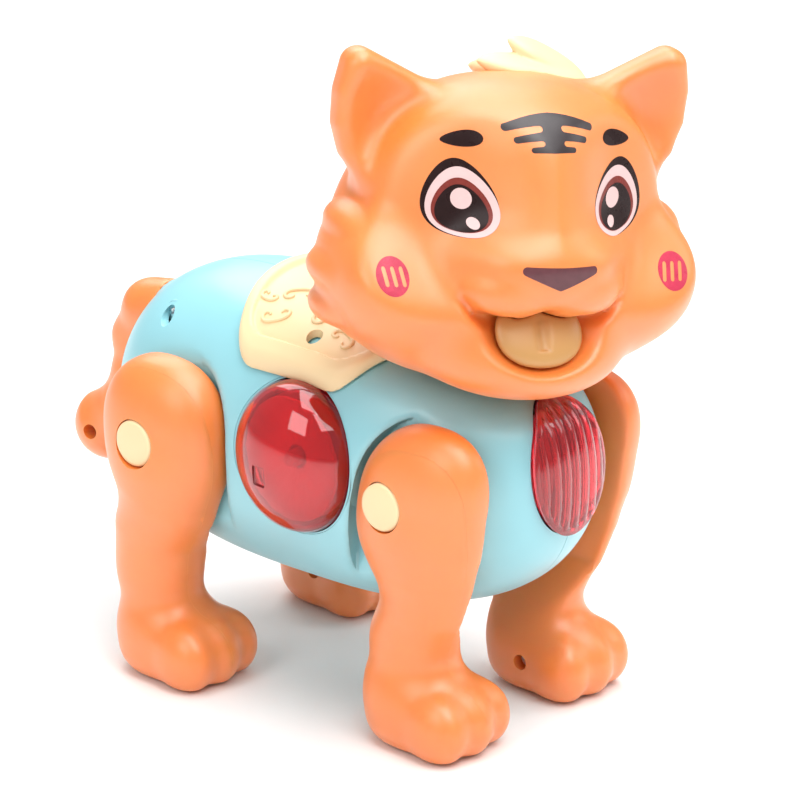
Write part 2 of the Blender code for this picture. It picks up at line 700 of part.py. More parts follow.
def battery_pack(toy):
    tray = box((-24 * MM, -29.5 * MM, TRAY_BOTTOM), (24 * MM, 27.5 * MM, TRAY_TOP), 1.0 * MM)
    ceiling = TRAY_TOP - 1.6 * MM
    well = box((-22.6 * MM, -28 * MM, 30 * MM), (22.6 * MM, 26 * MM, ceiling))
    combine(tray, well, "DIFFERENCE")
    finish(tray, "battery_tray", DARK, toy)
    for number, across in enumerate((-1, 0, 1), 1):
        r, end = CELL_RADIUS, CELL_LENGTH - 1.2 * MM
        stations = [(0, 0), (r - 0.4 * MM, 0), (r, 0.4 * MM), (r, end - 0.6 * MM), (r - 0.6 * MM, end),
                    (2.7 * MM, end), (2.7 * MM, CELL_LENGTH), (0, CELL_LENGTH)]
        middle = TRAY_TOP - 2.0 * MM - r
        start = Matrix.Translation((across * CELL_PITCH, (-26 if across else 24) * MM, middle))
        turn = Matrix.Rotation(math.radians(-90 if across else 90), 4, "X")
        finish(turned(stations, start @ turn, 16), "battery_cell_%d" % number, CELL, toy)


def drive_unit(toy):
    motor = box(mm(-10, -41, 67.5), mm(10, -15.5, 82.5), 2.0 * MM)
    combine(motor, rod(3.1 * MM, mm(0, -43, 75), mm(0, -14.3, 75), 20), "UNION")
    finish(motor, "motor", STEEL, toy)
    case = box(mm(-11.8, -14, 61.4), mm(14, 15.5, 92), 1.0 * MM)
    combine(case, box(mm(-13, -12, 63.4), mm(12, 13.5, 90)), "DIFFERENCE")
    combine(case, hub_rod(3.4 * MM, 1, CRANK_Y, -20 * MM, 20 * MM), "DIFFERENCE")
    finish(case, "gearbox_case", GREY, toy)
    cover = box(mm(-14, -14, 61.4), mm(-12.1, 15.5, 92), 0.5 * MM)
    combine(cover, hub_rod(3.4 * MM, 1, CRANK_Y, -20 * MM, 20 * MM), "DIFFERENCE")
    finish(cover, "gearbox_cover", GREY, toy)
    finish(box(mm(-21, -19, 92.4), mm(21, 25, 94.0)), "circuit_board", BOARD, toy)
    cone = [(0, 0), (14, 0), (14, 1.6), (9, 3.0), (8.5, 6.0), (0, 6.0)]
    speaker = turned([(r * MM, h * MM) for r, h in cone], Matrix.Translation(mm(0, 46.5, 47.0)))
    finish(speaker, "speaker", DARK, toy)
    finish(box(mm(-9.0, -53.5, 46.2), mm(9.0, -46, 51.4), 0.5 * MM), "switch_body", DARK, toy)
    chest = plate(ellipse(*CHEST_LENS, -4.5 * MM, 24), 1, -61.0 * MM, -59.8 * MM)
    finish(chest, "chest_lamp", GREY, toy)


def switch_knob(toy):
    pivot = empty("switch_pivot", Matrix.Translation(mm(-SWITCH_TRAVEL / 2, -50, 40)), toy)
    low, high = -2.6 - SWITCH_TRAVEL / 2, 2.6 - SWITCH_TRAVEL / 2
    knob = box(mm(low, -51.8, 37.4), mm(high, -48.2, 45.8), 0.4 * MM)
    finish(knob, "switch_knob", DARK, pivot)


def walking_gear(toy):
    pivot = empty("crank_pivot", Matrix.Translation((0, CRANK_Y, HUB_Z)), toy)
    stations = [(0, -18.6), (7, -18.6), (7, -14.6), (3, -14.6),
                (3, 14.6), (7, 14.6), (7, 18.6), (0, 18.6)]
    across = pose(pivot) @ Matrix.Rotation(math.pi / 2, 4, "Y")
    shaft = turned([(r * MM, h * MM) for r, h in stations], across)
    for side in (-1, 1):
        high = HUB_Z - side * CRANK_RADIUS
        pin = rod(PIN_RADIUS, (side * 17 * MM, CRANK_Y, high), (side * 23.0 * MM, CRANK_Y, high), 12)
        combine(shaft, pin, "UNION")
    finish(shaft, "crank_shaft", GREY, pivot)
    for side, name in ((-1, "drive_bar_right"), (1, "drive_bar_left")):
        drive_bar(toy, side, name)


def drive_bar(toy, side, name):
    pivot = empty(name + "_guide", Matrix.Translation((side * BAR_INNER, CRANK_Y, HUB_Z)), toy)
    rise, half = LEVER_LENGTH, 6.0 * MM
    ends = ((FRONT_HUB_Y - 6 * MM, HUB_Z + rise), (REAR_HUB_Y + 6 * MM, HUB_Z - rise))
    outline = [(ends[0][0], ends[0][1] - half), (ends[1][0], ends[1][1] - half),
               (ends[1][0], ends[1][1] + half), (ends[0][0], ends[0][1] + half)]
    bar = plate(outline, 0, side * BAR_INNER, side * (BAR_INNER + BAR_THICKNESS))
    slots = ((FRONT_HUB_Y, rise, 2.6, 3.4), (REAR_HUB_Y, -rise, 2.6, 3.4),
             (CRANK_Y, -side * 1.3 * MM, 2.65, 3.6))
    for y, lift, half_y, half_z in slots:
        low = np.array((-30 * MM, y - half_y * MM, HUB_Z + lift - half_z * MM))
        high = np.array((30 * MM, y + half_y * MM, HUB_Z + lift + half_z * MM))
        combine(bar, box(low, high), "DIFFERENCE")
    finish(bar, name, GREY, pivot)


def leg(toy, side, front, name):
    hub_y = FRONT_HUB_Y if front else REAR_HUB_Y
    inner, outer = (FRONT_POCKET, FRONT_OUTER) if front else (REAR_POCKET, REAR_OUTER)
    pivot = empty(name + "_pivot", Matrix.Translation((side * inner, hub_y, HUB_Z)), toy)
    reach = sorted((side * 8 * MM, side * 56 * MM))
    low, high = (mm(0, -76, -3), mm(0, -10, 112)) if front else (mm(0, 10, -3), mm(0, 76, 108))
    low[0], high[0] = reach
    whole = blended(name, lambda p: leg_form(p, side, front), low, high, 2.8 * MM, 200)
    hollow = blended("hollow", lambda p: leg_form(p, side, front) + WALL, low, high, 3.4 * MM, 80)
    boss = hub_rod(8.5 * MM, side, hub_y, inner - 2 * MM, outer + 5 * MM)
    combine(hollow, boss, "DIFFERENCE")
    combine(whole, hollow, "DIFFERENCE")
    bore = hub_rod(AXLE_RADIUS + GAP, side, hub_y, inner - 5 * MM, outer - 5 * MM)
    combine(whole, bore, "DIFFERENCE")
    seat = hub_rod(CAP_RADIUS + GAP, side, hub_y, outer - 3.4 * MM, 70 * MM)
    combine(whole, seat, "DIFFERENCE")
    across, ahead = sole_place(side, front)
    recess = plate(ellipse(across, ahead, 10.8 * MM, 15.8 * MM), 2, -5 * MM, SOLE_SEAT)
    combine(whole, recess, "DIFFERENCE")
    leg_halves(whole, side, front, name, pivot)
    face = CAP_RADIUS - 0.8 * MM
    stations = [(0, 0), (CAP_RADIUS, 0), (CAP_RADIUS, 2.6 * MM), (face, 3.3 * MM), (0, 3.6 * MM)]
    start = Matrix.Translation((side * (outer - 3.1 * MM), hub_y, HUB_Z))
    cap = turned(stations, start @ Matrix.Rotation(side * math.pi / 2, 4, "Y"), 16)
    finish(cap, name + "_cap", CREAM, pivot)
    rocker(side, front, name, pivot)
    sole(side, front, name, pivot)


def leg_halves(whole, side, front, name, pivot):
    (xa, za), (xb, zb) = leg_seam(front)
    slope = (xa - xb) / (za - zb)
    foot, top = xa - slope * (za + 10.0), xa + slope * (125.0 - za)
    for part, offset in (("outer", 0.1), ("inner", -0.1)):
        far = 80.0 if part == "outer" else 0.0
        outline = [((foot + offset) * side * MM, -10 * MM), (far * side * MM, -10 * MM),
                   (far * side * MM, 125 * MM), ((top + offset) * side * MM, 125 * MM)]
        half = copy_of(whole)
        combine(half, plate(outline, 1, -100 * MM, 100 * MM), "INTERSECT")
        finish(half, name + "_" + part, ORANGE, pivot, True)
    discard(whole)


def rocker(side, front, name, pivot):
    hub_y = FRONT_HUB_Y if front else REAR_HUB_Y
    outer = FRONT_OUTER if front else REAR_OUTER
    axle = hub_rod(AXLE_RADIUS, side, hub_y, 23.6 * MM, outer - 5.4 * MM)
    tip = HUB_Z + (LEVER_LENGTH if front else -LEVER_LENGTH)
    low, high = sorted((HUB_Z, tip))
    x = sorted((side * 23.0 * MM, side * 26.4 * MM))
    arm = box((x[0], hub_y - 5 * MM, low - 4.5 * MM), (x[1], hub_y + 5 * MM, high + 4.5 * MM), 0.6 * MM)
    combine(axle, arm, "UNION")
    pin = rod(PIN_RADIUS, (side * 19.0 * MM, hub_y, tip), (side * 24.0 * MM, hub_y, tip), 12)
    combine(axle, pin, "UNION")
    finish(axle, name + "_rocker", GREY, pivot)


def sole_place(side, front):
    return (side * 27.0 * MM, -46.5 * MM) if front else (side * 36.0 * MM, 39.5 * MM)


def sole(side, front, name, pivot):
    pad = plate(ellipse(*sole_place(side, front), 10.5 * MM, 15.5 * MM), 2, 0.0, 0.9 * MM)
    finish(pad, name + "_sole", RUBBER, pivot)


def head(toy):
    turn = neck_matrix() @ Matrix.Rotation(HEAD_TURN, 4, "Z") @ Matrix.Rotation(-NECK_LEAN, 4, "X")
    rise = Matrix.Translation((0, -math.sin(NECK_LEAN) * HEAD_RISE, math.cos(NECK_LEAN) * HEAD_RISE))
    pivot = empty("head_pivot", turn @ rise, toy)
    whole = blended("head", head_outer, mm(-62, -56, -44), mm(62, 46, 62), 2.4 * MM, 1060)
    inside = blended("hollow", head_cavity, mm(-62, -56, -44), mm(62, 46, 62), 4.0 * MM, 200)
    combine(whole, inside, "DIFFERENCE")
    down = Matrix.Translation((0, math.sin(NECK_LEAN) * HEAD_RISE, -math.cos(NECK_LEAN) * HEAD_RISE))
    column = NECK_RADIUS + 0.4 * MM
    bore = turned([(0, -5 * MM), (column, -5 * MM), (column, 9 * MM), (0, 9 * MM)],
                  down @ Matrix.Rotation(NECK_LEAN, 4, "X"))
    combine(whole, bore, "DIFFERENCE")
    combine(whole, rod(2.8 * MM, mm(0, -34, -18), mm(0, -15, -18), 16), "DIFFERENCE")
    combine(whole, rod(2.8 * MM, mm(9, 14, 30), mm(9, 14, 50), 16), "DIFFERENCE")
    for name, low, high in (("face_shell", -90 * MM, HEAD_SEAM_Y - 0.1 * MM),
                            ("head_back_shell", HEAD_SEAM_Y + 0.1 * MM, 90 * MM)):
        half = copy_of(whole)
        combine(half, box((-90 * MM, low, -90 * MM), (90 * MM, high, 90 * MM)), "INTERSECT")
        head_part(half, name, ORANGE, pivot)
    discard(whole)
    tuft = blended("hair", hair_form, mm(-18, 0, 30), mm(36, 36, 62), 1.8 * MM, 150)
    combine(tuft, rod(2.5 * MM, mm(9, 14, 35), mm(9, 14, 46), 16), "UNION")
    head_part(tuft, "hair_tuft", CREAM, pivot)
    tongue = blended("tongue", tongue_form, mm(-18, -46, -36), mm(18, -14, -4), 1.4 * MM, 130)
    combine(tongue, rod(2.5 * MM, mm(0, -30.5, -18), mm(0, -20, -18), 16), "UNION")
    head_part(tongue, "tongue", CREAM, pivot)


def head_part(made, name, spec, pivot):
    made.data.transform(pose(pivot))
    finish(made, name, spec, pivot, spec is ORANGE)


def tail(toy):
    pivot = empty("tail_pivot", Matrix.Translation((0, TAIL_Y, TAIL_Z)), toy)
    low, high = mm(-15, 70, 34), mm(15, 124, 112)
    whole = blended("tail", tail_form, low, high, 2.8 * MM, 200)
    hollow = blended("hollow", lambda p: tail_form(p) + WALL, low, high, 3.2 * MM, 80)
    combine(hollow, box(mm(-20, 66, 84), mm(20, 88, 115)), "DIFFERENCE")
    combine(whole, hollow, "DIFFERENCE")
    bore = rod(3.5 * MM + GAP, (0, 66 * MM, TAIL_Z), (0, TAIL_Y + 6.5 * MM, TAIL_Z), 20)
    combine(whole, bore, "DIFFERENCE")
    for name, low, high in (("tail_right", -60 * MM, -0.1 * MM), ("tail_left", 0.1 * MM, 60 * MM)):
        half = copy_of(whole)
        combine(half, box((low, 40 * MM, 0), (high, 160 * MM, 160 * MM)), "INTERSECT")
        finish(half, name, ORANGE, pivot, True)
    discard(whole)
    stations = [(0, 0), (5.2, 0), (5.2, 3), (3.5, 3), (3.5, 29), (0, 29)]
    along = Matrix.Translation((0, TAIL_Y - 23 * MM, TAIL_Z)) @ Matrix.Rotation(-math.pi / 2, 4, "X")
    pin = turned([(r * MM, h * MM) for r, h in stations], along)
    finish(pin, "tail_pin", GREY, pivot)


def build():
    for old in list(bpy.data.objects):
        bpy.data.objects.remove(old)
    toy = empty("toy", Matrix.Translation((STANCE_X, STANCE_Y, 0.0)))
    body_shells(toy)
    torso_fittings(toy)
    battery_pack(toy)
    drive_unit(toy)
    switch_knob(toy)
    walking_gear(toy)
    for side, flank in ((-1, "right"), (1, "left")):
        leg(toy, side, True, "leg_front_" + flank)
        leg(toy, side, False, "leg_rear_" + flank)
    head(toy)
    tail(toy)


build()
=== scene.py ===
import json
import math
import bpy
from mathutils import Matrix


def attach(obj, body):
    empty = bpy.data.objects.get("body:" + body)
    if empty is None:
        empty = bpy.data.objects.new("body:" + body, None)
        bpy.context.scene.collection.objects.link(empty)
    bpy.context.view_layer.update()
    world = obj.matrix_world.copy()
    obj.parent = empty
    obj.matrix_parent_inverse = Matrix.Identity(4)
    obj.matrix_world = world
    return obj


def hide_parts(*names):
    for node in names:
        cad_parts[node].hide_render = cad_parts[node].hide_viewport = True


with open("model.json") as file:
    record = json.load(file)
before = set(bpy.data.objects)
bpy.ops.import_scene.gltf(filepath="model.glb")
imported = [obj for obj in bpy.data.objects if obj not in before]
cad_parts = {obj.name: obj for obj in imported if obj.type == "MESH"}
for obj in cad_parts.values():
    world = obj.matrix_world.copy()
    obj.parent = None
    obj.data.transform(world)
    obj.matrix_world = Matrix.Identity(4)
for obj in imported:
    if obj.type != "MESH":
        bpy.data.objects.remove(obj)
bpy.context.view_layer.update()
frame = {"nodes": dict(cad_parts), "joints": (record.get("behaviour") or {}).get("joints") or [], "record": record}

from types import SimpleNamespace

import bmesh
import bpy
import numpy as np
from mathutils import Matrix, Vector

MM = 0.001
FLANKS = ((-1, "right"), (1, "left"))
JOINTS = {joint["name"]: joint for joint in frame["joints"]}

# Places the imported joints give, in the toy's own frame: the body's middle plane is x = 0
CRANK_Y = 0.75 * MM
CRANK = Vector(JOINTS["crank_turn"]["pos_m"])
STANCE = Vector((CRANK.x, CRANK.y - CRANK_Y, 0.0))
FRONT_HUB = Vector(JOINTS["leg_front_left_swing"]["pos_m"]) - STANCE
REAR_HUB = Vector(JOINTS["leg_rear_left_swing"]["pos_m"]) - STANCE
HUB_Z = FRONT_HUB.z
TAIL_Y = JOINTS["tail_wag"]["pos_m"][1] - STANCE.y
TAIL_Z = JOINTS["tail_wag"]["pos_m"][2]
NECK = Vector(JOINTS["head_turn"]["pos_m"]) - STANCE
NECK_LEAN = math.asin(-JOINTS["head_turn"]["axis"][1])

# Body barrel
BODY_MID_Y = 4.0 * MM
BODY_MID_Z = 75.0 * MM
BODY_FRONT_LENGTH = 76.5 * MM
BODY_REAR_LENGTH = 80.0 * MM
BODY_HALF_WIDTH = 41.0 * MM
BODY_HALF_HEIGHT = 45.0 * MM
FRONT_BLUNTNESS = 2.5
REAR_BLUNTNESS = 3.0
SECTION_SQUARENESS = 2.1
WALL = 2.2 * MM

# Legs
LEG_CLEARANCE = 0.8 * MM
CAP_RADIUS = 6.9 * MM
SOLE_PROUD = 0.3 * MM
SEAM_HALF = 0.02 * MM

# Screws: places in millimetres, and how far a head stands back from the end of its hole
RUMP_SCREW = (56.5, 104.5)
TAIL_SCREW = (104.0, 53.0)
DOOR_SCREW_Y = 23.0
BOSS_REACH = 22.0
PAW_SCREW_BACK = 1.1

# Head, saddle and lenses
HEAD_RISE = 36.7 * MM
HEAD_TURN = math.radians(-30.0)
HEAD_SEAM_Y = 5.0 * MM
NECK_RADIUS = 11.0 * MM
SADDLE_Y = 1.5 * MM
SADDLE_HALF_LENGTH = 30.5 * MM
SADDLE_HALF_WIDTH = 35.8 * MM
SIDE_LENS = (-3.6 * MM, 79.0 * MM, 20.6 * MM, 22.2 * MM)
SIDE_LENS_SEAT = 37.0 * MM
SIDE_LENS_BULGE = 14.0 * MM
CHEST_LENS = (0.0, 81.0 * MM, 14.8 * MM, 18.6 * MM)

COARSE = 1.0
HEAD_CELL = 0.95 * MM * COARSE
BODY_CELL = 1.2 * MM * COARSE
LEG_CELL = 1.1 * MM * COARSE
TRIM_CELL = 0.7 * MM * COARSE
PRINT_CELL = 0.4 * MM
PRINT_LIFT = 0.05 * MM
DOME_SIDES = 96
DOME_RINGS = 28
DOME_SKIRT = 0.28

# Floor, and the camera of the photograph
FLOOR_REACH = 6.0
FLOOR_Z = -0.3 * MM
CAMERA_AZIMUTH = math.radians(310.0)
CAMERA_ELEVATION = math.radians(20.0)
CAMERA_DISTANCE = 1.2
CAMERA_TARGET = Vector((0.0, -10.0 * MM + STANCE.y, 87.0 * MM))
PIXELS_PER_MM = 3.5
IMAGE_PIXELS = 800
SENSOR_MM = 36.0


def mm(x, y, z):
    return np.array((x, y, z)) * MM


# A front and a rear leg as on the left flank. `recess` is the pocket's lower part. Shank, seam, sole, screw
# and the spans that hold a leg and its pocket are in millimetres, the rest in metres.
FRONT = SimpleNamespace(
    name="leg_front_", hub=FRONT_HUB, outer=45.5 * MM, room=1.9 * MM,
    recess=((FRONT_HUB.x, -44.5 * MM, 48 * MM), mm(15, 23.5, 27)),
    thigh=np.array((33.0 * MM, -46.5 * MM, HUB_Z)), thigh_reach=(21.0 * MM, 22.8 * MM), lean=0.2,
    shank=(((30.5, -47.5, 62), 13.2), ((30.5, -46.6, 54), 11.7), ((29.5, -44.6, 43), 10.0),
           ((28, -39, 31), 9.8), ((28, -38, 20), 11)), deep=1.25,
    foot=mm(27.6, -45.5, 0.0), knee=39.0 * MM, seam=((39.0, 75.0), (28.0, 12.0)), sole=(27.3, -46.0),
    screw=(17.5, -44.2, 10.5), span=(-76, -10, 112), pocket_span=(-76, 0))
REAR = SimpleNamespace(
    name="leg_rear_", hub=REAR_HUB, outer=52.5 * MM, room=1.4 * MM,
    recess=((REAR_HUB.x, 43.5 * MM, 58 * MM), mm(16, 18.5, 24)),
    thigh=mm(38.5, 44.5, 76.0), thigh_reach=(21.6 * MM, 22.3 * MM), lean=0.0,
    shank=(((36, 44, 64), 16), ((36.3, 44.5, 56), 14.3), ((36.8, 49.8, 45), 12.3),
           ((36.8, 51, 33), 11.5), ((36.5, 51, 20), 11.5)), deep=1.0,
    foot=mm(36.0, 42.5, 0.0), knee=47.0 * MM, seam=((43.5, 75.0), (37.0, 12.0)), sole=(36.0, 41.5),
    screw=(26.5, 42.5, 13.5), span=(10, 76, 110), pocket_span=(14, 76))


# Forms: each takes points (n, 3) and gives a distance, below zero inside

def ellipsoid(p, centre, radii):
    q = p - np.array(centre)
    k0 = np.linalg.norm(q / radii, axis=1)
    k1 = np.linalg.norm(q / np.square(radii), axis=1)
    return k0 * (k0 - 1.0) / np.maximum(k1, 1e-9)


def squared_ellipsoid(p, centre, radii, power):
    q = np.abs(p - np.array(centre)) / np.array(radii)
    return (np.sum(q ** power, axis=1) ** (1.0 / power) - 1.0) * min(radii)


def rounded_block(p, centre, radii, power):
    """An ellipsoid swollen towards its box, with distances that hold near the skin."""
    q = np.maximum(np.abs(p - np.array(centre)) / np.array(radii), 1e-9)
    size = np.sum(q ** power, axis=1) ** (1.0 / power)
    slope = np.linalg.norm((q / size[:, None]) ** (power - 1.0) / np.array(radii), axis=1)
    return (size - 1.0) / slope


def taper(p, start, end, r_start, r_end):
    a = np.array(start)
    ab = np.array(end) - a
    t = np.clip((p - a) @ ab / (ab @ ab), 0.0, 1.0)
    return np.linalg.norm(p - a - t[:, None] * ab, axis=1) - r_start - t * (r_end - r_start)


def join(a, b, blend):
    h = np.clip(0.5 + 0.5 * (b - a) / blend, 0.0, 1.0)
    return b + (a - b) * h - blend * h * (1.0 - h)


def carve(a, b, blend):
    return -join(-a, b, blend)


def flat_mm(*places):
    return [(a * MM, b * MM) for a, b in places]


def to_stroke(x, z, start, end):
    """Distance to a straight stroke, and how far along it the nearest point lies."""
    (ax, az), (bx, bz) = start, end
    dx, dz = bx - ax, bz - az
    t = np.clip(((x - ax) * dx + (z - az) * dz) / (dx * dx + dz * dz), 0.0, 1.0)
    return np.hypot(x - ax - t * dx, z - az - t * dz), t


def polygon(x, z, corners):
    """Distance to a convex outline whose corners run counter-clockwise."""
    near = np.full(x.shape, 1.0)
    inside = np.full(x.shape, True)
    for a, b in zip(corners, corners[1:] + corners[:1]):
        near = np.minimum(near, to_stroke(x, z, a, b)[0])
        inside &= (b[0] - a[0]) * (z - a[1]) - (b[1] - a[1]) * (x - a[0]) > 0.0
    return np.where(inside, -near, near)


def chain(p, knots, blend):
    form = None
    for (a, ra), (b, rb) in zip(knots, knots[1:]):
        piece = taper(p, a, b, ra, rb)
        form = piece if form is None else join(form, piece, blend)
    return form


def smooth_step(low, high, value):
    t = np.clip((value - low) / (high - low), 0.0, 1.0)
    return t * t * (3.0 - 2.0 * t)


def mirrored(p):
    return np.column_stack([np.abs(p[:, 0]), p[:, 1], p[:, 2]])


# The barrel and what follows its skin

def barrel(p, grow=0.0):
    x, y, z = p[:, 0], p[:, 1] - BODY_MID_Y, p[:, 2] - BODY_MID_Z
    n = np.where(y < 0.0, FRONT_BLUNTNESS, REAR_BLUNTNESS)
    s = SECTION_SQUARENESS
    across = np.abs(x / (BODY_HALF_WIDTH + grow)) ** s + np.abs(z / (BODY_HALF_HEIGHT + grow)) ** s
    along = np.abs(y / (np.where(y < 0.0, BODY_FRONT_LENGTH, BODY_REAR_LENGTH) + grow)) ** n
    skin = ((across ** (n / s) + along) ** (1.0 / n) - 1.0) * BODY_HALF_WIDTH
    lift = (NECK.y - p[:, 1]) * math.sin(NECK_LEAN) + (p[:, 2] - NECK.z) * math.cos(NECK_LEAN)
    return carve(skin, -(lift - grow), 10.0 * MM)


def pocket_form(p, plan):
    """The room for a leg's upper part, from the pocket's floor outwards."""
    q = mirrored(p)
    room = join(thigh_form(q, plan), ellipsoid(q, *plan.recess), 8.0 * MM) - plan.room
    return np.maximum(room, plan.hub.x - q[:, 0])


def body_outer(p):
    rump = np.hypot(p[:, 0], p[:, 2] - TAIL_Z) - 8.5 * MM
    ends = np.abs(p[:, 1] - TAIL_Y + 15.0 * MM) - 15.0 * MM
    form = join(barrel(p), np.maximum(rump, ends), 4.0 * MM)
    form = carve(form, tail_seat(p), 0.6 * MM)
    for plan in (FRONT, REAR):
        rim = np.maximum(pocket_form(p, plan) + 0.8 * MM, -1.2 * MM - form)
        form = carve(form, rim, 3.0 * MM)
    return form


def tail_seat(p):
    return np.maximum(np.hypot(p[:, 0], p[:, 2] - TAIL_Z) - 12.0 * MM, TAIL_Y - 0.5 * MM - p[:, 1])


def body_cavity(p):
    form = carve(barrel(p, -WALL), tail_seat(p) - WALL, 1.0 * MM)
    for plan in (FRONT, REAR):
        form = carve(form, pocket_form(p, plan) - 2.0 * WALL, 1.0 * MM)
    return form


def saddle_outline(p):
    bow = 7.6 * MM * np.square(p[:, 0] / (30.0 * MM))
    ends = np.abs(p[:, 1] - SADDLE_Y) - SADDLE_HALF_LENGTH + bow
    flanks = np.abs(p[:, 0]) - SADDLE_HALF_WIDTH
    collar = 21.0 * MM - np.hypot(p[:, 0], p[:, 1] - NECK.y)
    return np.maximum(carve(ends, -flanks, 6.0 * MM), collar)


def saddle_form(p):
    skin = barrel(p)
    outline = saddle_outline(p)
    panel = 1.2 * MM * smooth_step(3.2 * MM, 4.6 * MM, -outline)
    slab = np.maximum(skin - 3.6 * MM + panel, 0.5 * MM - skin)
    return carve(outline, -np.maximum(slab, 90.0 * MM - p[:, 2]), 1.4 * MM)


# Head, in its own frame: origin at the middle of the skull, -Y through the nose

def ear_form(p):
    side = mirrored(p)
    x, y, z = side[:, 0], side[:, 1], side[:, 2]
    corners = flat_mm((22.0, 37.0), (39.5, 20.0), (44.6, 26.0), (46.9, 33.0), (47.0, 41.0), (45.5, 48.5))
    outline = polygon(x, z, corners)
    thick = np.maximum(np.abs(y - 2.0 * MM) - 1.5 * MM, 0.0)
    leaf = np.hypot(np.maximum(outline, 0.0), thick) + np.minimum(outline, 0.0) * 0.1
    dish = ellipsoid(side, mm(38.5, -10.0, 33.5), mm(12.0, 11.0, 14.5))
    return carve(leaf - 5.0 * MM, dish, 8.0 * MM)


def mouth_form(p):
    bowl = ellipsoid(p, mm(0, -43, -13), mm(21, 20, 16))
    return np.maximum(bowl, p[:, 2] + 10.5 * MM)


def eye_flat(side):
    """The nearly flat place a printed eye lies on, bending away all round."""
    slope = 0.40
    lean = 0.10 * (side[:, 2] - 16.0 * MM)
    depth = 22.0 * MM + side[:, 1] - slope * (side[:, 0] - 23.0 * MM) - lean
    depth /= math.hypot(1.0, slope)
    out = np.hypot((side[:, 0] - 24.0 * MM) / (17.0 * MM), (side[:, 2] - 18.5 * MM) / (17.0 * MM))
    return depth + 7.0 * MM * np.square(np.maximum(0.0, out - 0.5))


def head_form(p):
    side = mirrored(p)
    form = squared_ellipsoid(p, mm(0, 0, 6), mm(43, 34, 40), 2.4)
    nape = p - np.outer(0.55 * np.maximum(0.0, p[:, 1] + 4 * MM), (0.0, 0.0, 1.0))
    form = join(form, squared_ellipsoid(nape, mm(0, -1, -12), mm(49.5, 32, 25.5), 2.3), 9 * MM)
    form = join(form, ellipsoid(side, mm(41, 2, -8), mm(11.5, 15, 18)), 4 * MM)
    for reach, z in ((44.6, 5.0), (48.6, -8.0), (47.2, -18.5)):
        form = join(form, ellipsoid(side, mm(reach, 2, z), mm(6.5, 12, 5.4)), 1.4 * MM)
    form = join(form, ellipsoid(side, mm(38, -14, -7), mm(11, 13.5, 12)), 12 * MM)
    form = carve(form, eye_flat(side), 10 * MM)
    form = join(form, taper(p, mm(0, -17.5, 24), mm(0, -26, 4), 11.5 * MM, 13 * MM), 13 * MM)
    form = join(form, ellipsoid(p, mm(0, -20, 1), mm(25, 15, 10.5)), 9 * MM)
    form = join(form, squared_ellipsoid(p, mm(0, -25, -0.5), mm(19, 16.6, 8.5), 3.0), 5 * MM)
    form = join(form, ellipsoid(p, mm(0, -23, -27), mm(25, 17, 11.5)), 8 * MM)
    form = carve(form, mouth_form(p), 2.5 * MM)
    form = join(form, ellipsoid(side, mm(9.5, -25, -6), mm(14.5, 15.5, 8.8)), 1.8 * MM)
    return join(form + smile(side), ear_form(p), 5.0 * MM)


def smile(side):
    """How deep the crease is that runs from a mouth corner up the cheek."""
    path = flat_mm((10.0, -15.0), (14.5, -14.6), (19.5, -12.8), (23.5, -9.0))
    across = np.full(len(side), 1.0)
    for a, b in zip(path, path[1:]):
        across = np.minimum(across, to_stroke(side[:, 0], side[:, 2], a, b)[0])
    fade = smooth_step(-24.0 * MM, -30.0 * MM, side[:, 1]) * smooth_step(26.0 * MM, 18.0 * MM, side[:, 0])
    return 2.6 * MM * fade * np.exp(-np.square(across / (1.7 * MM)))


def head_lift(p):
    return p[:, 1] * -math.sin(NECK_LEAN) + p[:, 2] * math.cos(NECK_LEAN) + HEAD_RISE


def head_outer(p):
    lift = head_lift(p)
    along = -p[:, 1] * math.cos(NECK_LEAN) - p[:, 2] * math.sin(NECK_LEAN)
    out = np.hypot(p[:, 0], along)
    stub = np.maximum(out - 19.0 * MM, lift - 20.0 * MM)
    form = carve(join(head_form(p), stub, 5.0 * MM), lift - 1.5 * MM, 0.8 * MM)
    return np.maximum(form, -np.maximum(out - NECK_RADIUS - 4.0 * MM, lift - 11.0 * MM))


def leaf_form(p, root, tip, face, half_width, half_thick):
    """A flat strand from root to tip, broad in the middle, whose broad side faces `face`."""
    root, tip = np.array(root), np.array(tip)
    length = np.linalg.norm(tip - root)
    along = (tip - root) / length
    normal = np.array(face) - np.dot(face, along) * along
    normal /= np.linalg.norm(normal)
    across = np.cross(normal, along)
    q = p - root
    t = q @ along / length
    arch = np.clip(4.0 * t * (1.0 - t), 0.02, 1.0)
    width = half_width * np.sqrt(arch)
    thick = half_thick * arch ** 0.35
    power = 2.6
    flat = np.abs(q @ across / width) ** power
    tall = np.abs(q @ normal / thick) ** power
    ends = np.abs(2.0 * t - 1.0) ** 5
    return ((flat + tall + ends) ** (1.0 / power) - 1.0) * half_thick


def hair_form(p):
    lowest = leaf_form(p, mm(27, 12, 41), mm(-7.5, 12, 47.5), (0.0, -0.3, 1.0), 6.0 * MM, 3.2 * MM)
    middle = leaf_form(p, mm(28, 15, 40), mm(3, 16, 52.5), (0.3, -0.4, 1.0), 6.0 * MM, 3.0 * MM)
    rear = leaf_form(p, mm(24, 17, 40), mm(-4, 26, 43), (0.1, 0.5, 1.0), 6.0 * MM, 3.5 * MM)
    form = join(join(lowest, middle, 0.8 * MM), rear, 0.8 * MM)
    return carve(form, head_form(p) + 0.5 * MM, 0.6 * MM)


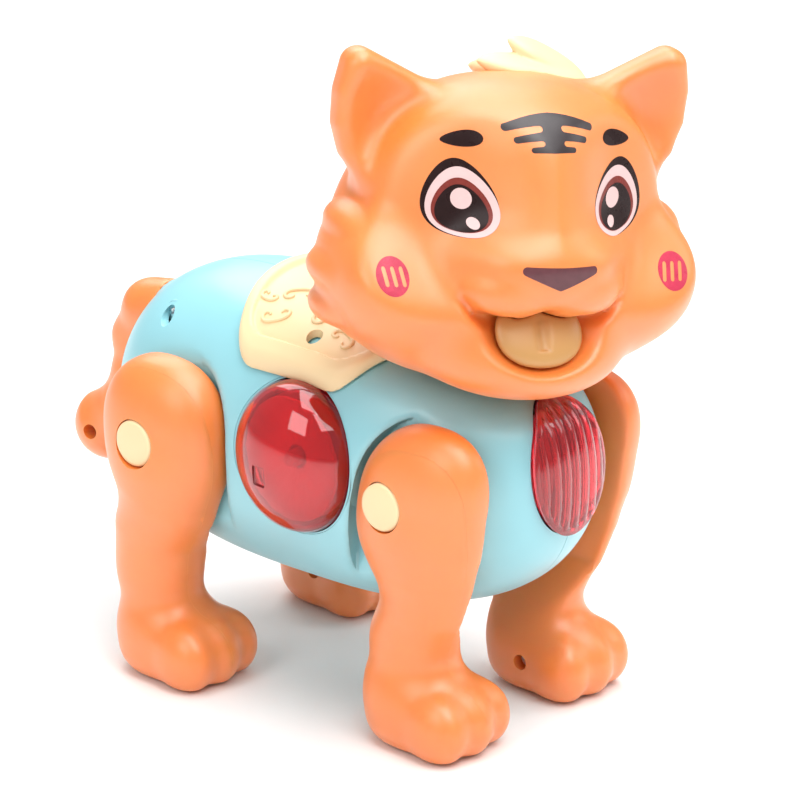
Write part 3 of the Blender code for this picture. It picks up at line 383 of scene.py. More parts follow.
def tongue_form(p):
    lean = Matrix.Rotation(math.radians(-33.0), 3, "X")
    q = (p - mm(0, -30.5, -18.3)) @ np.array(lean)
    blade = squared_ellipsoid(q, mm(0, 0, 0), mm(12.6, 3.2, 10.0), 2.2)
    groove = np.hypot(q[:, 0], q[:, 1] + 4.0 * MM) - 1.9 * MM
    blade = carve(blade, np.maximum(groove, np.abs(q[:, 2] - 1.5 * MM) - 7.0 * MM), 1.2 * MM)
    return carve(blade, head_form(p) - 0.2 * MM, 0.8 * MM)


# Legs and tail

def thigh_form(q, plan):
    lean = np.column_stack([q[:, 0], q[:, 1] + plan.lean * (q[:, 2] - HUB_Z), q[:, 2]])
    return rounded_block(lean, plan.thigh, (plan.outer - plan.thigh[0], *plan.thigh_reach), 2.3)


def shank_form(q, plan):
    """The leg between knee and paw; a front one is deeper than it is wide."""
    scale = np.array((1.0, 1.0 / plan.deep, 1.0))
    return chain(q * scale, [(mm(*place) * scale, r * MM) for place, r in plan.shank], 6 * MM)


def leg_form(p, side, plan):
    q = np.column_stack([p[:, 0] * side, p[:, 1], p[:, 2]])
    shape = join(thigh_form(q, plan), shank_form(q, plan), 8 * MM)
    shape = join(shape, rounded_block(q, plan.foot + mm(0, 1.5, 9.5), mm(14.9, 19, 12), 2.5), 8 * MM)
    for across in (-9.4, 0.0, 9.4):
        ahead = -8.8 if across else -10.3
        toe = ellipsoid(q, plan.foot + mm(across, ahead, 9.0), mm(6.8, 9.5, 9.8))
        shape = join(shape, toe, 2.6 * MM)
    shape = carve(shape, q[:, 2] - SOLE_PROUD, 1.2 * MM)
    lean = np.maximum(0.0, plan.knee - q[:, 2]) * 0.75
    return carve(shape, q[:, 0] - plan.hub.x - LEG_CLEARANCE + lean, 2.0 * MM)


def tail_form(p):
    knots = [((0, 80, 95.5), 8.5), ((0, 87, 93.5), 8.3), ((0, 93.2, 84), 6.9), ((0, 93.6, 71), 7.3),
             ((0, 97.5, 60), 8.8), ((0, 105, 53), 11.3)]
    form = chain(p, [(mm(*c), r * MM) for c, r in knots], 4 * MM)
    return carve(form, p[:, 1] - TAIL_Y - 0.2 * MM, 0.8 * MM)


# Skins: one vertex in each small cell that a form's surface crosses, settled on the surface

CORNERS = np.array([(i, j, k) for i in (0, 1) for j in (0, 1) for k in (0, 1)])
EDGES = [(a, b) for a in range(8) for b in range(a + 1, 8) if np.abs(CORNERS[a] - CORNERS[b]).sum() == 1]
BLOCK = 4


def sample(form, low, counts, cell):
    """Values on a grid; points far from the surface take the value in the middle of their block."""
    blocks = -(-counts // BLOCK)
    index = np.stack(np.meshgrid(*[np.arange(b) for b in blocks], indexing="ij"), axis=-1).reshape(-1, 3)
    value = form(low + cell * (BLOCK * index + (BLOCK - 1) / 2.0)).reshape(blocks)
    for axis in range(3):
        value = np.repeat(value, BLOCK, axis=axis)
    value = value[:counts[0], :counts[1], :counts[2]].copy()
    near = np.abs(value) < 1.6 * BLOCK * cell
    value[near] = form(low + cell * np.argwhere(near))
    return value


def press_on(form, x, z, start, steps):
    """Points where lines that run backwards from `start` meet a form's skin."""
    points = np.column_stack([x, np.full(x.shape, start), z])
    for _ in range(steps):
        points[:, 1] += 0.7 * form(points)
    return points


def slopes(form, points, step):
    return np.column_stack([form(points + step * e) - form(points - step * e) for e in np.eye(3)])


def settle(form, points, cell):
    step = cell * 0.02
    home = points.copy()
    for _ in range(4):
        slope = slopes(form, points, step) / (2.0 * step)
        size = np.maximum(np.sum(slope * slope, axis=1), 0.04)
        points = points - slope * (form(points) / size)[:, None]
        points = home + np.clip(points - home, -0.7 * cell, 0.7 * cell)
    return points


def skin_faces(solid, index):
    faces = []
    for axis in range(3):
        u, v = (axis + 1) % 3, (axis + 2) % 3
        low = np.moveaxis(solid, (axis, u, v), (0, 1, 2))
        ids = np.moveaxis(index, (axis, u, v), (0, 1, 2))
        i, j, k = np.nonzero(low[:-1, 1:-1, 1:-1] != low[1:, 1:-1, 1:-1])
        quad = np.column_stack([ids[i, j, k], ids[i, j + 1, k], ids[i, j + 1, k + 1], ids[i, j, k + 1]])
        outward = low[:-1, 1:-1, 1:-1][i, j, k]
        faces.append(np.where(outward[:, None], quad, quad[:, ::-1]))
    return np.concatenate(faces)


def skin(form, low, high, cell):
    low = np.array(low)
    counts = np.ceil((np.array(high) - low) / cell).astype(int) + 1
    value = sample(form, low, counts, cell)
    solid = value < 0.0
    shape = counts - 1
    corner = [tuple(slice(o, o + s) for o, s in zip(c, shape)) for c in CORNERS]
    filled = sum(solid[c].astype(np.int8) for c in corner)
    mixed = (filled > 0) & (filled < 8)
    cells = np.argwhere(mixed)
    values = np.stack([value[c][mixed] for c in corner], axis=1)
    total = np.zeros((len(cells), 3))
    count = np.zeros(len(cells))
    for a, b in EDGES:
        crossed = (values[:, a] < 0.0) != (values[:, b] < 0.0)
        part = values[:, a] / np.where(crossed, values[:, a] - values[:, b], 1.0)
        place = CORNERS[a] + part[:, None] * (CORNERS[b] - CORNERS[a])
        total += np.where(crossed[:, None], place, 0.0)
        count += crossed
    points = settle(form, low + cell * (cells + total / count[:, None]), cell)
    index = np.full(mixed.shape, -1)
    index[mixed] = np.arange(len(cells))
    return raw(points.tolist(), skin_faces(solid, index).tolist())


# Objects and cuts

def linked(name, data):
    made = bpy.data.objects.new(name, data)
    bpy.context.scene.collection.objects.link(made)
    return made


def raw(points, faces):
    mesh = bpy.data.meshes.new("work")
    mesh.from_pydata(points, [], faces)
    mesh.update()
    return linked("work", mesh)


def from_bmesh(edit):
    bmesh.ops.recalc_face_normals(edit, faces=edit.faces)
    made = raw([], [])
    edit.to_mesh(made.data)
    edit.free()
    return made


def discard(made):
    mesh = made.data
    bpy.data.objects.remove(made)
    bpy.data.meshes.remove(mesh)


def copy_of(made):
    return linked("work", made.data.copy())


def apply_modifiers(made):
    depsgraph = bpy.context.evaluated_depsgraph_get()
    mesh = bpy.data.meshes.new_from_object(made.evaluated_get(depsgraph))
    made.modifiers.clear()
    old = made.data
    made.data = mesh
    bpy.data.meshes.remove(old)
    return made


def combine(made, tool, operation="DIFFERENCE"):
    step = made.modifiers.new("cut", "BOOLEAN")
    step.object = tool
    step.operation = operation
    step.solver = "EXACT"
    apply_modifiers(made)
    discard(tool)
    return made


def thicken(made, thickness):
    step = made.modifiers.new("wall", "SOLIDIFY")
    step.thickness = thickness
    return apply_modifiers(made)


def merged(parts):
    """Several objects as one, for a single cut."""
    edit = bmesh.new()
    for part in parts:
        edit.from_mesh(part.data)
        discard(part)
    made = raw([], [])
    edit.to_mesh(made.data)
    edit.free()
    return made


def box(low, high, bevel=0.0):
    edit = bmesh.new()
    size = np.array(high) - np.array(low)
    middle = (np.array(high) + np.array(low)) / 2.0
    place = Matrix.Translation(middle) @ Matrix.Diagonal((*size, 1.0))
    bmesh.ops.create_cube(edit, size=1.0, matrix=place)
    if bevel:
        bmesh.ops.bevel(edit, geom=edit.edges, offset=bevel, segments=3, affect="EDGES", profile=0.5)
    return from_bmesh(edit)


def turns(count):
    return [2.0 * math.pi * n / count for n in range(count)]


def turned(stations, matrix, sides=64):
    """Turn (radius, height) stations about local Z; the first and last are on the axis."""
    edit = bmesh.new()
    rings = []
    for radius, height in stations:
        if radius == 0.0:
            rings.append([edit.verts.new((0.0, 0.0, height))] * sides)
            continue
        rings.append([edit.verts.new((radius * math.cos(t), radius * math.sin(t), height))
                      for t in turns(sides)])
    for lower, upper in zip(rings, rings[1:]):
        for a, b, c, d in zip(lower, lower[1:] + lower[:1], upper[1:] + upper[:1], upper):
            edit.faces.new(list(dict.fromkeys((a, b, c, d))))
    edit.transform(matrix)
    return from_bmesh(edit)


def rod(radius, start, end, sides=48):
    axis = Vector(end) - Vector(start)
    matrix = Matrix.Translation(start) @ axis.to_track_quat("Z", "Y").to_matrix().to_4x4()
    stations = [(0.0, 0.0), (radius, 0.0), (radius, axis.length), (0.0, axis.length)]
    return turned(stations, matrix, sides)


def ring_quads(rings, sides):
    """Faces between closed rings of points, one ring after the other."""
    faces = []
    for n in range(rings):
        for k in range(sides):
            m = (k + 1) % sides
            faces.append([n * sides + k, n * sides + m, (n + 1) * sides + m, (n + 1) * sides + k])
    return faces


def plate(outline, axis, low, high):
    """A flat outline, given by its other two axes in order, pushed along one axis."""
    edit = bmesh.new()
    face = edit.faces.new([edit.verts.new(np.insert(place, axis, low)) for place in outline])
    push = np.insert((0.0, 0.0), axis, high - low)
    grown = bmesh.ops.extrude_face_region(edit, geom=[face])
    moved = [e for e in grown["geom"] if isinstance(e, bmesh.types.BMVert)]
    bmesh.ops.translate(edit, verts=moved, vec=push)
    return from_bmesh(edit)


def ellipse(mid_a, mid_b, half_a, half_b, grow=0.0):
    a, b = half_a + grow, half_b + grow
    return [(mid_a + a * math.cos(t), mid_b + b * math.sin(t)) for t in turns(DOME_SIDES)]


def half_of(made, point, normal):
    """The part of a closed solid behind a plane, closed again at the cut."""
    part = copy_of(made)
    edit = bmesh.new()
    edit.from_mesh(part.data)
    geom = edit.verts[:] + edit.edges[:] + edit.faces[:]
    bmesh.ops.bisect_plane(edit, geom=geom, dist=1e-7, plane_co=point, plane_no=normal, clear_outer=True)
    rim = [e for e in edit.edges if e.is_boundary]
    bmesh.ops.holes_fill(edit, edges=rim, sides=0)
    edit.to_mesh(part.data)
    edit.free()
    return part


def finish(made, name, body, look, nodes=(), place=None, angle=38.0):
    """Name, shade and dress a piece, put it in place and let it ride on its body."""
    made.name = name
    made.data.name = name
    made.data.materials.clear()
    for finish_look in look if isinstance(look, (list, tuple)) else (look,):
        made.data.materials.append(finish_look)
    made.data.polygons.foreach_set("use_smooth", [True] * len(made.data.polygons))
    made.data.set_sharp_from_angle(angle=math.radians(angle))
    made.data.transform(place or Matrix.Translation(STANCE))
    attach(made, body)
    if nodes:
        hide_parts(*nodes)


def fit(made, name, body, slot, *nodes, place=None):
    """Finish a piece in the look that LOOKS keeps under a material slot's name."""
    finish(made, name, body, LOOKS[slot], nodes, place)


# Materials; most of a noise lies between these two values

NOISE_LOW, NOISE_HIGH = 0.3, 0.7


def new_material(name):
    made = bpy.data.materials.new(name)
    made.use_nodes = True
    tree = made.node_tree
    return made, tree, tree.nodes["Principled BSDF"]


def put(node, values):
    for socket, value in values.items():
        node.inputs[socket].default_value = value


def noise(tree, scale, detail=3.0):
    coords = tree.nodes.new("ShaderNodeTexCoord")
    node = tree.nodes.new("ShaderNodeTexNoise")
    put(node, {"Scale": scale, "Detail": detail})
    tree.links.new(coords.outputs["Object"], node.inputs["Vector"])
    return node.outputs["Fac"]


def ramp(tree, source, low, high):
    node = tree.nodes.new("ShaderNodeValToRGB")
    for element, (place, colour) in zip(node.color_ramp.elements, (low, high)):
        element.position = place
        element.color = (*colour, 1.0)
    tree.links.new(source, node.inputs["Fac"])
    return node.outputs["Color"]


def spread(tree, source, low, high):
    node = tree.nodes.new("ShaderNodeMapRange")
    put(node, {"From Min": NOISE_LOW, "From Max": NOISE_HIGH, "To Min": low, "To Max": high})
    tree.links.new(source, node.inputs["Value"])
    return node.outputs["Result"]


def bump(tree, shader, source, strength, distance):
    node = tree.nodes.new("ShaderNodeBump")
    put(node, {"Strength": strength, "Distance": distance})
    tree.links.new(source, node.inputs["Height"])
    tree.links.new(node.outputs["Normal"], shader.inputs["Normal"])


def scaled(colour, factor):
    return tuple(min(1.0, channel * factor) for channel in colour)


def drift(tree, colour, scale, detail, dark, light):
    """A colour that wanders between a darker and a lighter tone."""
    return ramp(tree, noise(tree, scale, detail), (NOISE_LOW, scaled(colour, dark)),
                (NOISE_HIGH, scaled(colour, light)))


def polish(tree, shader, scale, detail, low, high):
    """Duller and shinier patches."""
    tree.links.new(spread(tree, noise(tree, scale, detail), low, high), shader.inputs["Roughness"])


def moulded(name, colour, roughness, grain=0.08, shift=0.05, coat=0.0):
    """Moulded plastic: slight colour drift, polished and dull patches, a fine grain, and a painted highlight that
    makes sharp convex edges paler.
    """
    made, tree, shader = new_material(name)
    tint = drift(tree, colour, 38.0, 2.0, 1.0 - shift, 1.0 + shift)
    # Painted highlight: where the surface is sharply convex (high pointiness) the colour turns to a paler copy of
    # itself
    edges = tree.nodes.new("ShaderNodeNewGeometry").outputs["Pointiness"]
    mix = tree.nodes.new("ShaderNodeMix")
    mix.data_type = "RGBA"
    edge_highlight_mask = ramp(tree, edges, (0.47, (0.0, 0.0, 0.0)), (0.62, (1.0, 1.0, 1.0)))
    mix.inputs["B"].default_value = (*scaled(colour, 1.12), 1.0)
    tree.links.new(edge_highlight_mask, mix.inputs["Factor"])
    tree.links.new(tint, mix.inputs["A"])
    tree.links.new(mix.outputs["Result"], shader.inputs["Base Color"])
    polish(tree, shader, 90.0, 4.0, roughness - 0.04, roughness + 0.05)
    bump(tree, shader, noise(tree, 1400.0, 2.0), grain, 0.05 * MM)
    put(shader, {"Coat Weight": coat, "Coat Roughness": 0.44, "Coat IOR": 1.7})
    return made


def glow(made, weight, depth):
    """Let light sink a little way into a soft plastic."""
    put(made.node_tree.nodes["Principled BSDF"],
        {"Subsurface Weight": weight, "Subsurface Radius": (1.0, 0.35, 0.12), "Subsurface Scale": depth})


def clear_plastic(name, colour, depth):
    """Tinted clear plastic with faint flow marks; `depth` is how much light goes through."""
    made, tree, shader = new_material(name)
    tree.links.new(drift(tree, colour, 55.0, 3.0, 0.85, 1.15), shader.inputs["Base Color"])
    polish(tree, shader, 70.0, 3.0, 0.03, 0.07)
    put(shader, {"Transmission Weight": depth, "IOR": 1.49, "Coat Weight": 0.6, "Coat Roughness": 0.03})
    return made


def ink(name, colour, roughness=0.28, shift=0.10, gloss=0.18):
    """A printed colour: slightly uneven coverage and a soft gloss."""
    made, tree, shader = new_material(name)
    tint = drift(tree, colour, 420.0, 3.0, 1.0 - shift, 1.0 + shift)
    tree.links.new(tint, shader.inputs["Base Color"])
    polish(tree, shader, 260.0, 3.0, roughness - 0.04, roughness + 0.05)
    put(shader, {"Specular IOR Level": gloss})
    return made


def metal(name, colour, roughness):
    made, tree, shader = new_material(name)
    put(shader, {"Metallic": 1.0})
    tree.links.new(drift(tree, colour, 300.0, 4.0, 0.85, 1.1), shader.inputs["Base Color"])
    polish(tree, shader, 600.0, 3.0, roughness - 0.06, roughness + 0.10)
    return made


LOOKS = {slot: make(slot + "_look", *values) for slot, make, *values in (
    ("orange_vinyl", moulded, (0.82, 0.215, 0.034), 0.42, 0.08, 0.05, 0.75),
    ("blue_plastic", moulded, (0.26, 0.58, 0.65), 0.34, 0.06, 0.04, 0.4),
    ("cream_plastic", moulded, (0.80, 0.62, 0.36), 0.40),
    ("red_clear", clear_plastic, (0.90, 0.035, 0.055), 0.86),
    ("dark_plastic", moulded, (0.035, 0.035, 0.04), 0.50, 0.2),
    ("gear_plastic", moulded, (0.62, 0.63, 0.65), 0.42, 0.1),
    # Painted shade: the tongue's cream darkened to a tan, standing in for the shade inside the mouth
    ("tongue_plastic", moulded, (0.52, 0.275, 0.085), 0.42, 0.08, 0.05, 0.3),
    ("lamp_white", moulded, (0.90, 0.86, 0.84), 0.35, 0.05, 0.03),
    ("bright_steel", metal, (0.70, 0.71, 0.73), 0.26),
    ("green_board", moulded, (0.03, 0.22, 0.09), 0.42, 0.3, 0.18),
    ("cell_jacket", moulded, (0.08, 0.10, 0.14), 0.28, 0.05, 0.2),
    ("sole_rubber", moulded, (0.05, 0.045, 0.045), 0.78, 0.5, 0.15))}
glow(LOOKS["orange_vinyl"], 0.35, 4.0 * MM)
INK_BLACK = ink("ink_black", (0.020, 0.009, 0.009))
INK_WHITE = ink("ink_white", (0.70, 0.49, 0.48), 0.30, 0.02)
INK_BROWN = ink("ink_brown", (0.20, 0.035, 0.028))
INK_ROSE = ink("ink_rose", (0.50, 0.042, 0.085))
INK_NOSE = ink("ink_nose", (0.12, 0.040, 0.048), 0.22, 0.10, 0.4)
INK_MARK = ink("ink_mark", (0.030, 0.022, 0.024), 0.34, 0.10, 0.5)


# The head

def head_matrix():
    neck = Matrix.Translation(NECK) @ Matrix.Rotation(NECK_LEAN, 4, "X")
    turn = neck @ Matrix.Rotation(HEAD_TURN, 4, "Z") @ Matrix.Rotation(-NECK_LEAN, 4, "X")
    rise = Matrix.Translation((0, -math.sin(NECK_LEAN) * HEAD_RISE, math.cos(NECK_LEAN) * HEAD_RISE))
    return Matrix.Translation(STANCE) @ turn @ rise


HEAD = head_matrix()


def head_shells():
    whole = skin(head_outer, mm(-62, -56, -44), mm(62, 46, 62), HEAD_CELL)
    front = half_of(whole, (0, HEAD_SEAM_Y - SEAM_HALF, 0), (0, 1, 0))
    back = half_of(whole, (0, HEAD_SEAM_Y + SEAM_HALF, 0), (0, -1, 0))
    discard(whole)
    fit(front, "face", "head", "orange_vinyl", "face_shell", place=HEAD)
    fit(back, "head_back", "head", "orange_vinyl", "head_back_shell", place=HEAD)


def head_trim():
    tuft = skin(hair_form, mm(-26, -20, 32), mm(30, 32, 66), TRIM_CELL)
    fit(tuft, "hair", "head", "cream_plastic", "hair_tuft", place=HEAD)
    blade = skin(tongue_form, mm(-18, -50, -36), mm(18, -16, -4), TRIM_CELL)
    # The tongue takes the cream darkened as painted shade for the inside of the mouth
    finish(blade, "tongue_blade", "head", LOOKS["tongue_plastic"], ["tongue"], HEAD)


# Prints on the face: flat outlines in the head's x and z, laid on its skin

def on_face(x, z, lift):
    points = press_on(head_form, x, z, -70.0 * MM, 90)
    slope = slopes(head_form, points, 0.05 * MM)
    return points + lift * slope / np.linalg.norm(slope, axis=1)[:, None]


def flat_patch(form, low, high, cell):
    """Small faces that fill a flat outline and end exactly at its edge."""
    xs = np.arange(low[0], high[0] + cell, cell)
    zs = np.arange(low[1], high[1] + cell, cell)
    across, up = np.meshgrid(xs, zs, indexing="ij")
    value = form(across.ravel(), up.ravel()).reshape(across.shape)
    verts, faces, ids = [], [], {}

    def vertex(key, x, z):
        if key not in ids:
            ids[key] = len(verts)
            verts.append((x, z))
        return ids[key]

    around = ((0, 0), (1, 0), (1, 1), (0, 1))
    inside = value < 0.0
    touched = inside[:-1, :-1] | inside[1:, :-1] | inside[1:, 1:] | inside[:-1, 1:]
    for i, j in np.argwhere(touched):
        loop = []
        for n in range(4):
            a = (i + around[n][0], j + around[n][1])
            b = (i + around[(n + 1) % 4][0], j + around[(n + 1) % 4][1])
            if inside[a]:
                loop.append(vertex(a, xs[a[0]], zs[a[1]]))
            if inside[a] != inside[b]:
                t = value[a] / (value[a] - value[b])
                x = xs[a[0]] + t * (xs[b[0]] - xs[a[0]])
                z = zs[a[1]] + t * (zs[b[1]] - zs[a[1]])
                loop.append(vertex((min(a, b), max(a, b)), x, z))
        if len(loop) > 2:
            faces.append(loop[::-1])
    return np.array(verts), faces


def printed(name, layers):
    """Print layers (outline, low, high, look), each a little above the last, as one piece."""
    points, faces, kinds = [], [], []
    for level, (form, low, high, _) in enumerate(layers):
        verts, patch = flat_patch(form, np.array(low) * MM, np.array(high) * MM, PRINT_CELL)
        laid = on_face(verts[:, 0], verts[:, 1], PRINT_LIFT * (level + 1))
        faces += [[v + len(points) for v in loop] for loop in patch]
        points += laid.tolist()
        kinds += [level] * len(patch)
    made = raw(points, faces)
    finish(made, name, "head", [layer[3] for layer in layers], place=HEAD, angle=60.0)
    made.data.polygons.foreach_set("material_index", kinds)


def egg(x, z, mid_x, mid_z, half_width, half_height, narrow, tilt=0.0):
    """An oval that narrows towards its top."""
    dx, dz = x - mid_x * MM, z - mid_z * MM
    a = dx * math.cos(tilt) + dz * math.sin(tilt)
    b = (dz * math.cos(tilt) - dx * math.sin(tilt)) / (half_height * MM)
    width = half_width * MM * (1.0 - narrow * b)
    return (np.hypot(a / width, b) - 1.0) * half_width * MM


EYE_X, EYE_Z, EYE_SIZE, EYE_TILT, EYE_REACH = 22.9, 17.4, 0.94, -0.10, 15


def eye(side, flank):
    def oval(out, up, half_width, half_height, narrow):
        middle = EYE_X + EYE_SIZE * out, EYE_Z + EYE_SIZE * up
        half = EYE_SIZE * half_width, EYE_SIZE * half_height
        return lambda x, z: egg(x * side, z, *middle, *half, narrow, EYE_TILT)

    def gleam(x, z):
        large_x, small_x = (-1.6, -2.6) if side > 0 else (0.4, 3.0)
        dx, dz = x - side * EYE_X * MM, z - EYE_Z * MM
        large = np.hypot(dx - large_x * MM, (dz + 0.1 * MM) / 1.08) - 2.6 * MM
        small = np.hypot(dx - small_x * MM, dz + 6.1 * MM) - 1.5 * MM
        return np.minimum(large, small)

    low, high = sorted((side * (EYE_X - EYE_REACH), side * (EYE_X + EYE_REACH)))
    reach = (low, EYE_Z - EYE_REACH), (high, EYE_Z + EYE_REACH)
    printed("eye_" + flank, [
        (oval(0.5, 0.3, 9.5, 10.8, 0.26), *reach, INK_BLACK),
        (oval(-0.2, -0.8, 9.0, 9.6, 0.24), *reach, INK_WHITE),
        (oval(-0.2, -1.8, 7.4, 7.5, 0.24), *reach, INK_BROWN),
        (oval(-0.2, -2.7, 6.5, 6.5, 0.22), *reach, INK_BLACK),
        (gleam, *reach, INK_WHITE)])


def bar(x, z, start, end, sag, r_start, r_mid, r_end):
    """A bowed tapering stroke from start to end."""
    knots = []
    for t in np.linspace(0.0, 1.0, 11):
        px = start[0] + (end[0] - start[0]) * t
        pz = start[1] + (end[1] - start[1]) * t + 4.0 * sag * t * (1.0 - t)
        r = r_start + (r_mid - r_start) * 2 * t if t < 0.5 else r_mid + (r_end - r_mid) * (2 * t - 1)
        knots.append((px * MM, pz * MM, r * MM))
    form = np.full(x.shape, 1.0)
    for (*a, ra), (*b, rb) in zip(knots, knots[1:]):
        away, t = to_stroke(x, z, a, b)
        form = np.minimum(form, away - ra - t * (rb - ra))
    return form


def forehead_mark(x, z):
    bars = ((12.4, 37.2, 2.4, 0.9, 1.35), (9.8, 34.4, 1.5, 0.8, 1.1), (5.8, 32.3, 0.4, 0.7, 0.9))
    form = np.maximum(np.abs(x) - 2.7 * MM, np.abs(z - 35.8 * MM) - 3.2 * MM)
    for reach, height, sag, tip, middle in bars:
        stroke = bar(x, z, (-reach, height), (reach, height), sag, tip, middle, tip)
        form = join(form, stroke, 0.9 * MM)
    return form


def brow(side):
    half_length, half_height, cosine, sine = 5.2 * MM, 2.1 * MM, 0.985, 0.17

    def form(x, z):
        dx, dz = x * side - 22.6 * MM, z - 33.0 * MM
        along = (dx * cosine - dz * sine) / half_length
        up = (dz * cosine + dx * sine) / (half_height * (1.0 - 0.3 * along))
        return (np.hypot(along, up) - 1.0) * half_height
    return form


def nose_print(x, z):
    return polygon(x, z, flat_mm((0.0, -2.0), (9.6, 2.0), (-9.6, 2.0))) - 1.2 * MM


def blush(side):
    def form(x, z):
        spot = np.hypot((x * side - 41.2 * MM) / 0.95, z + 3.5 * MM) - 4.8 * MM
        for step in (-2.4, 0.0, 2.4):
            stripe = bar(x * side, z, (41.2 + step, -1.6), (40.6 + step, -5.4), 0.0, 0.55, 0.55, 0.55)
            spot = np.maximum(spot, -stripe)
        return spot
    return form


def face_prints():
    printed("forehead_mark", [(forehead_mark, (-16, 29), (16, 45), INK_MARK)])
    printed("nose_print", [(nose_print, (-13, -6), (13, 5), INK_NOSE)])
    for side, flank in FLANKS:
        eye(side, flank)
        low, high = sorted((side * 14.0, side * 32.0))
        printed("brow_" + flank, [(brow(side), (low, 29), (high, 40), INK_BLACK)])
        low, high = sorted((side * 33.0, side * 49.0))
        printed("blush_" + flank, [(blush(side), (low, -12), (high, 3), INK_ROSE)])


# The body

def lid_box(grow):
    return box(mm(-17 - grow, -29 - grow, 20), mm(17 + grow, 27 + grow, 60), 1.0 * MM)


def body_shells():
    low, high = mm(-50, -84, 24), mm(50, 92, 124)
    whole = skin(body_outer, low, high, BODY_CELL)
    combine(whole, skin(body_cavity, low, high, 3.0 * MM))
    door = copy_of(whole)
    combine(door, lid_box(0.0), "INTERSECT")
    combine(door, rod(2.4 * MM, mm(0, DOOR_SCREW_Y, 20), mm(0, DOOR_SCREW_Y, 34)))
    fit(door, "battery_lid", "torso", "blue_plastic", "battery_door")
    combine(whole, merged(body_openings()))
    for plan in (FRONT, REAR):
        start, end = plan.pocket_span
        for side, _ in FLANKS:
            near, far = sorted((side * 24, side * 62))
            combine(whole, skin(lambda p: pocket_form(p, plan), mm(near, start, 12), mm(far, end, 112),
                                LEG_CELL))
    for side, flank in FLANKS:
        half = copy_of(whole)
        near, far = sorted((side * 0.1, side * 70.0))
        combine(half, box(mm(near, -120, 0), mm(far, 150, 160)), "INTERSECT")
        fit(half, "body_" + flank, "torso", "blue_plastic", "body_shell_" + flank)
    discard(whole)


def body_openings():
    """Neck, chest lens, tail pin, battery lid, switch, domes, rump screws, leg axles and speaker holes."""
    lean = Matrix.Translation(NECK) @ Matrix.Rotation(NECK_LEAN, 4, "X")
    column, deep = NECK_RADIUS + 0.4 * MM, 9 * MM
    parts = [turned([(0, -deep), (column, -deep), (column, deep), (0, deep)], lean),
             plate(ellipse(*CHEST_LENS, 0.35 * MM), 1, -100 * MM, -45 * MM),
             rod(4.07 * MM, (0, 60.3 * MM, TAIL_Z), (0, 90 * MM, TAIL_Z), 47),
             lid_box(0.4),
             box(mm(-5.2, -52.2, 25), mm(5.2, -47.8, 48))]
    for side, _ in FLANKS:
        parts.append(plate(ellipse(*SIDE_LENS, 0.7 * MM), 0, side * 26 * MM, side * 60 * MM))
        parts.append(rod(2.6 * MM, mm(side * 12, *RUMP_SCREW), mm(side * 40, *RUMP_SCREW)))
        for hub in (FRONT_HUB, REAR_HUB):
            parts.append(rod(4.4 * MM, (side * 20 * MM, hub.y, HUB_Z), (side * 48 * MM, hub.y, HUB_Z)))
    for holes, radius in ((1, 0.0), (6, 4.0), (12, 8.0)):
        for turn in turns(holes):
            x, y = radius * math.cos(turn), 46.5 + radius * math.sin(turn)
            parts.append(rod(1.0 * MM, mm(x, y, 25), mm(x, y, 46.5), 16))
    return parts


def on_barrel(y, arc, height):
    """Points a given height above the barrel's skin, at an arc length across from its crown."""
    turn = arc / BODY_HALF_HEIGHT
    reach = np.full(turn.shape, BODY_HALF_HEIGHT)
    for _ in range(30):
        p = np.column_stack([reach * np.sin(turn), y, BODY_MID_Z + reach * np.cos(turn)])
        reach = reach - 0.8 * (barrel(p) - height)
    return np.column_stack([reach * np.sin(turn), y, BODY_MID_Z + reach * np.cos(turn)])


def double_scroll(length, steps=90):
    """A curve that winds up at both ends, as (a, b) points of unit size."""
    s = np.linspace(-length, length, steps)
    turn = np.sign(s) * s * s * math.pi / 2.0
    step = s[1] - s[0]
    a, b = np.cumsum(np.cos(turn)) * step, np.cumsum(np.sin(turn)) * step
    return np.column_stack([a - a.mean(), b - b.mean()])


def tube(points, radii, sides=8):
    """Vertices and faces of a tube along points, pinched shut at both ends."""
    along = np.gradient(points, axis=0)
    along /= np.linalg.norm(along, axis=1)[:, None]
    across = np.cross(along, (0.0, 0.0, 1.0))
    across /= np.linalg.norm(across, axis=1)[:, None]
    up = np.cross(across, along)
    verts = []
    for n in range(len(points)):
        for t in turns(sides):
            verts.append(points[n] + radii[n] * (math.cos(t) * across[n] + math.sin(t) * up[n]))
    last = (len(points) - 1) * sides
    faces = ring_quads(len(points) - 1, sides)
    return verts, faces + [list(range(sides))[::-1], list(range(last, last + sides))]


# Scrolls of the saddle: place along and across from the crown, size, turn and winding
SCROLLS = ((13.5, 15.0, 5.6, 0.7, 1), (13.0, 26.5, 5.2, -0.5, -1), (0.5, 20.0, 5.6, 1.5, 1),
           (-12.0, 15.0, 5.6, 0.7, -1), (-11.5, 26.5, 5.2, -0.5, 1), (20.5, 20.5, 3.6, 0.2, -1))


def saddle():
    seat = skin(saddle_form, mm(-42, -34, 86), mm(42, 38, 128), TRIM_CELL)
    combine(seat, rod(2.4 * MM, mm(-27.5, -1.5, 90), mm(-27.5, -1.5, 130)))
    verts, faces = [], []
    curve = double_scroll(1.75)
    for side, _ in FLANKS:
        for along, across, size, turn, wind in SCROLLS:
            angle = turn * wind
            a = curve[:, 0] * math.cos(angle) - wind * curve[:, 1] * math.sin(angle)
            b = curve[:, 0] * math.sin(angle) + wind * curve[:, 1] * math.cos(angle)
            y = SADDLE_Y + (along + size * a) * MM
            points = on_barrel(y, side * (across + size * b) * MM, 2.55 * MM)
            fade = np.sin(np.linspace(0.0, math.pi, len(points))) ** 0.4
            part, rings = tube(points, (0.25 + 0.40 * fade) * MM)
            faces += [[v + len(verts) for v in ring] for ring in rings]
            verts += [tuple(v) for v in part]
    fit(raw(verts, faces), "saddle_scrolls", "torso", "cream_plastic")
    fit(seat, "saddle_seat", "torso", "cream_plastic", "saddle")


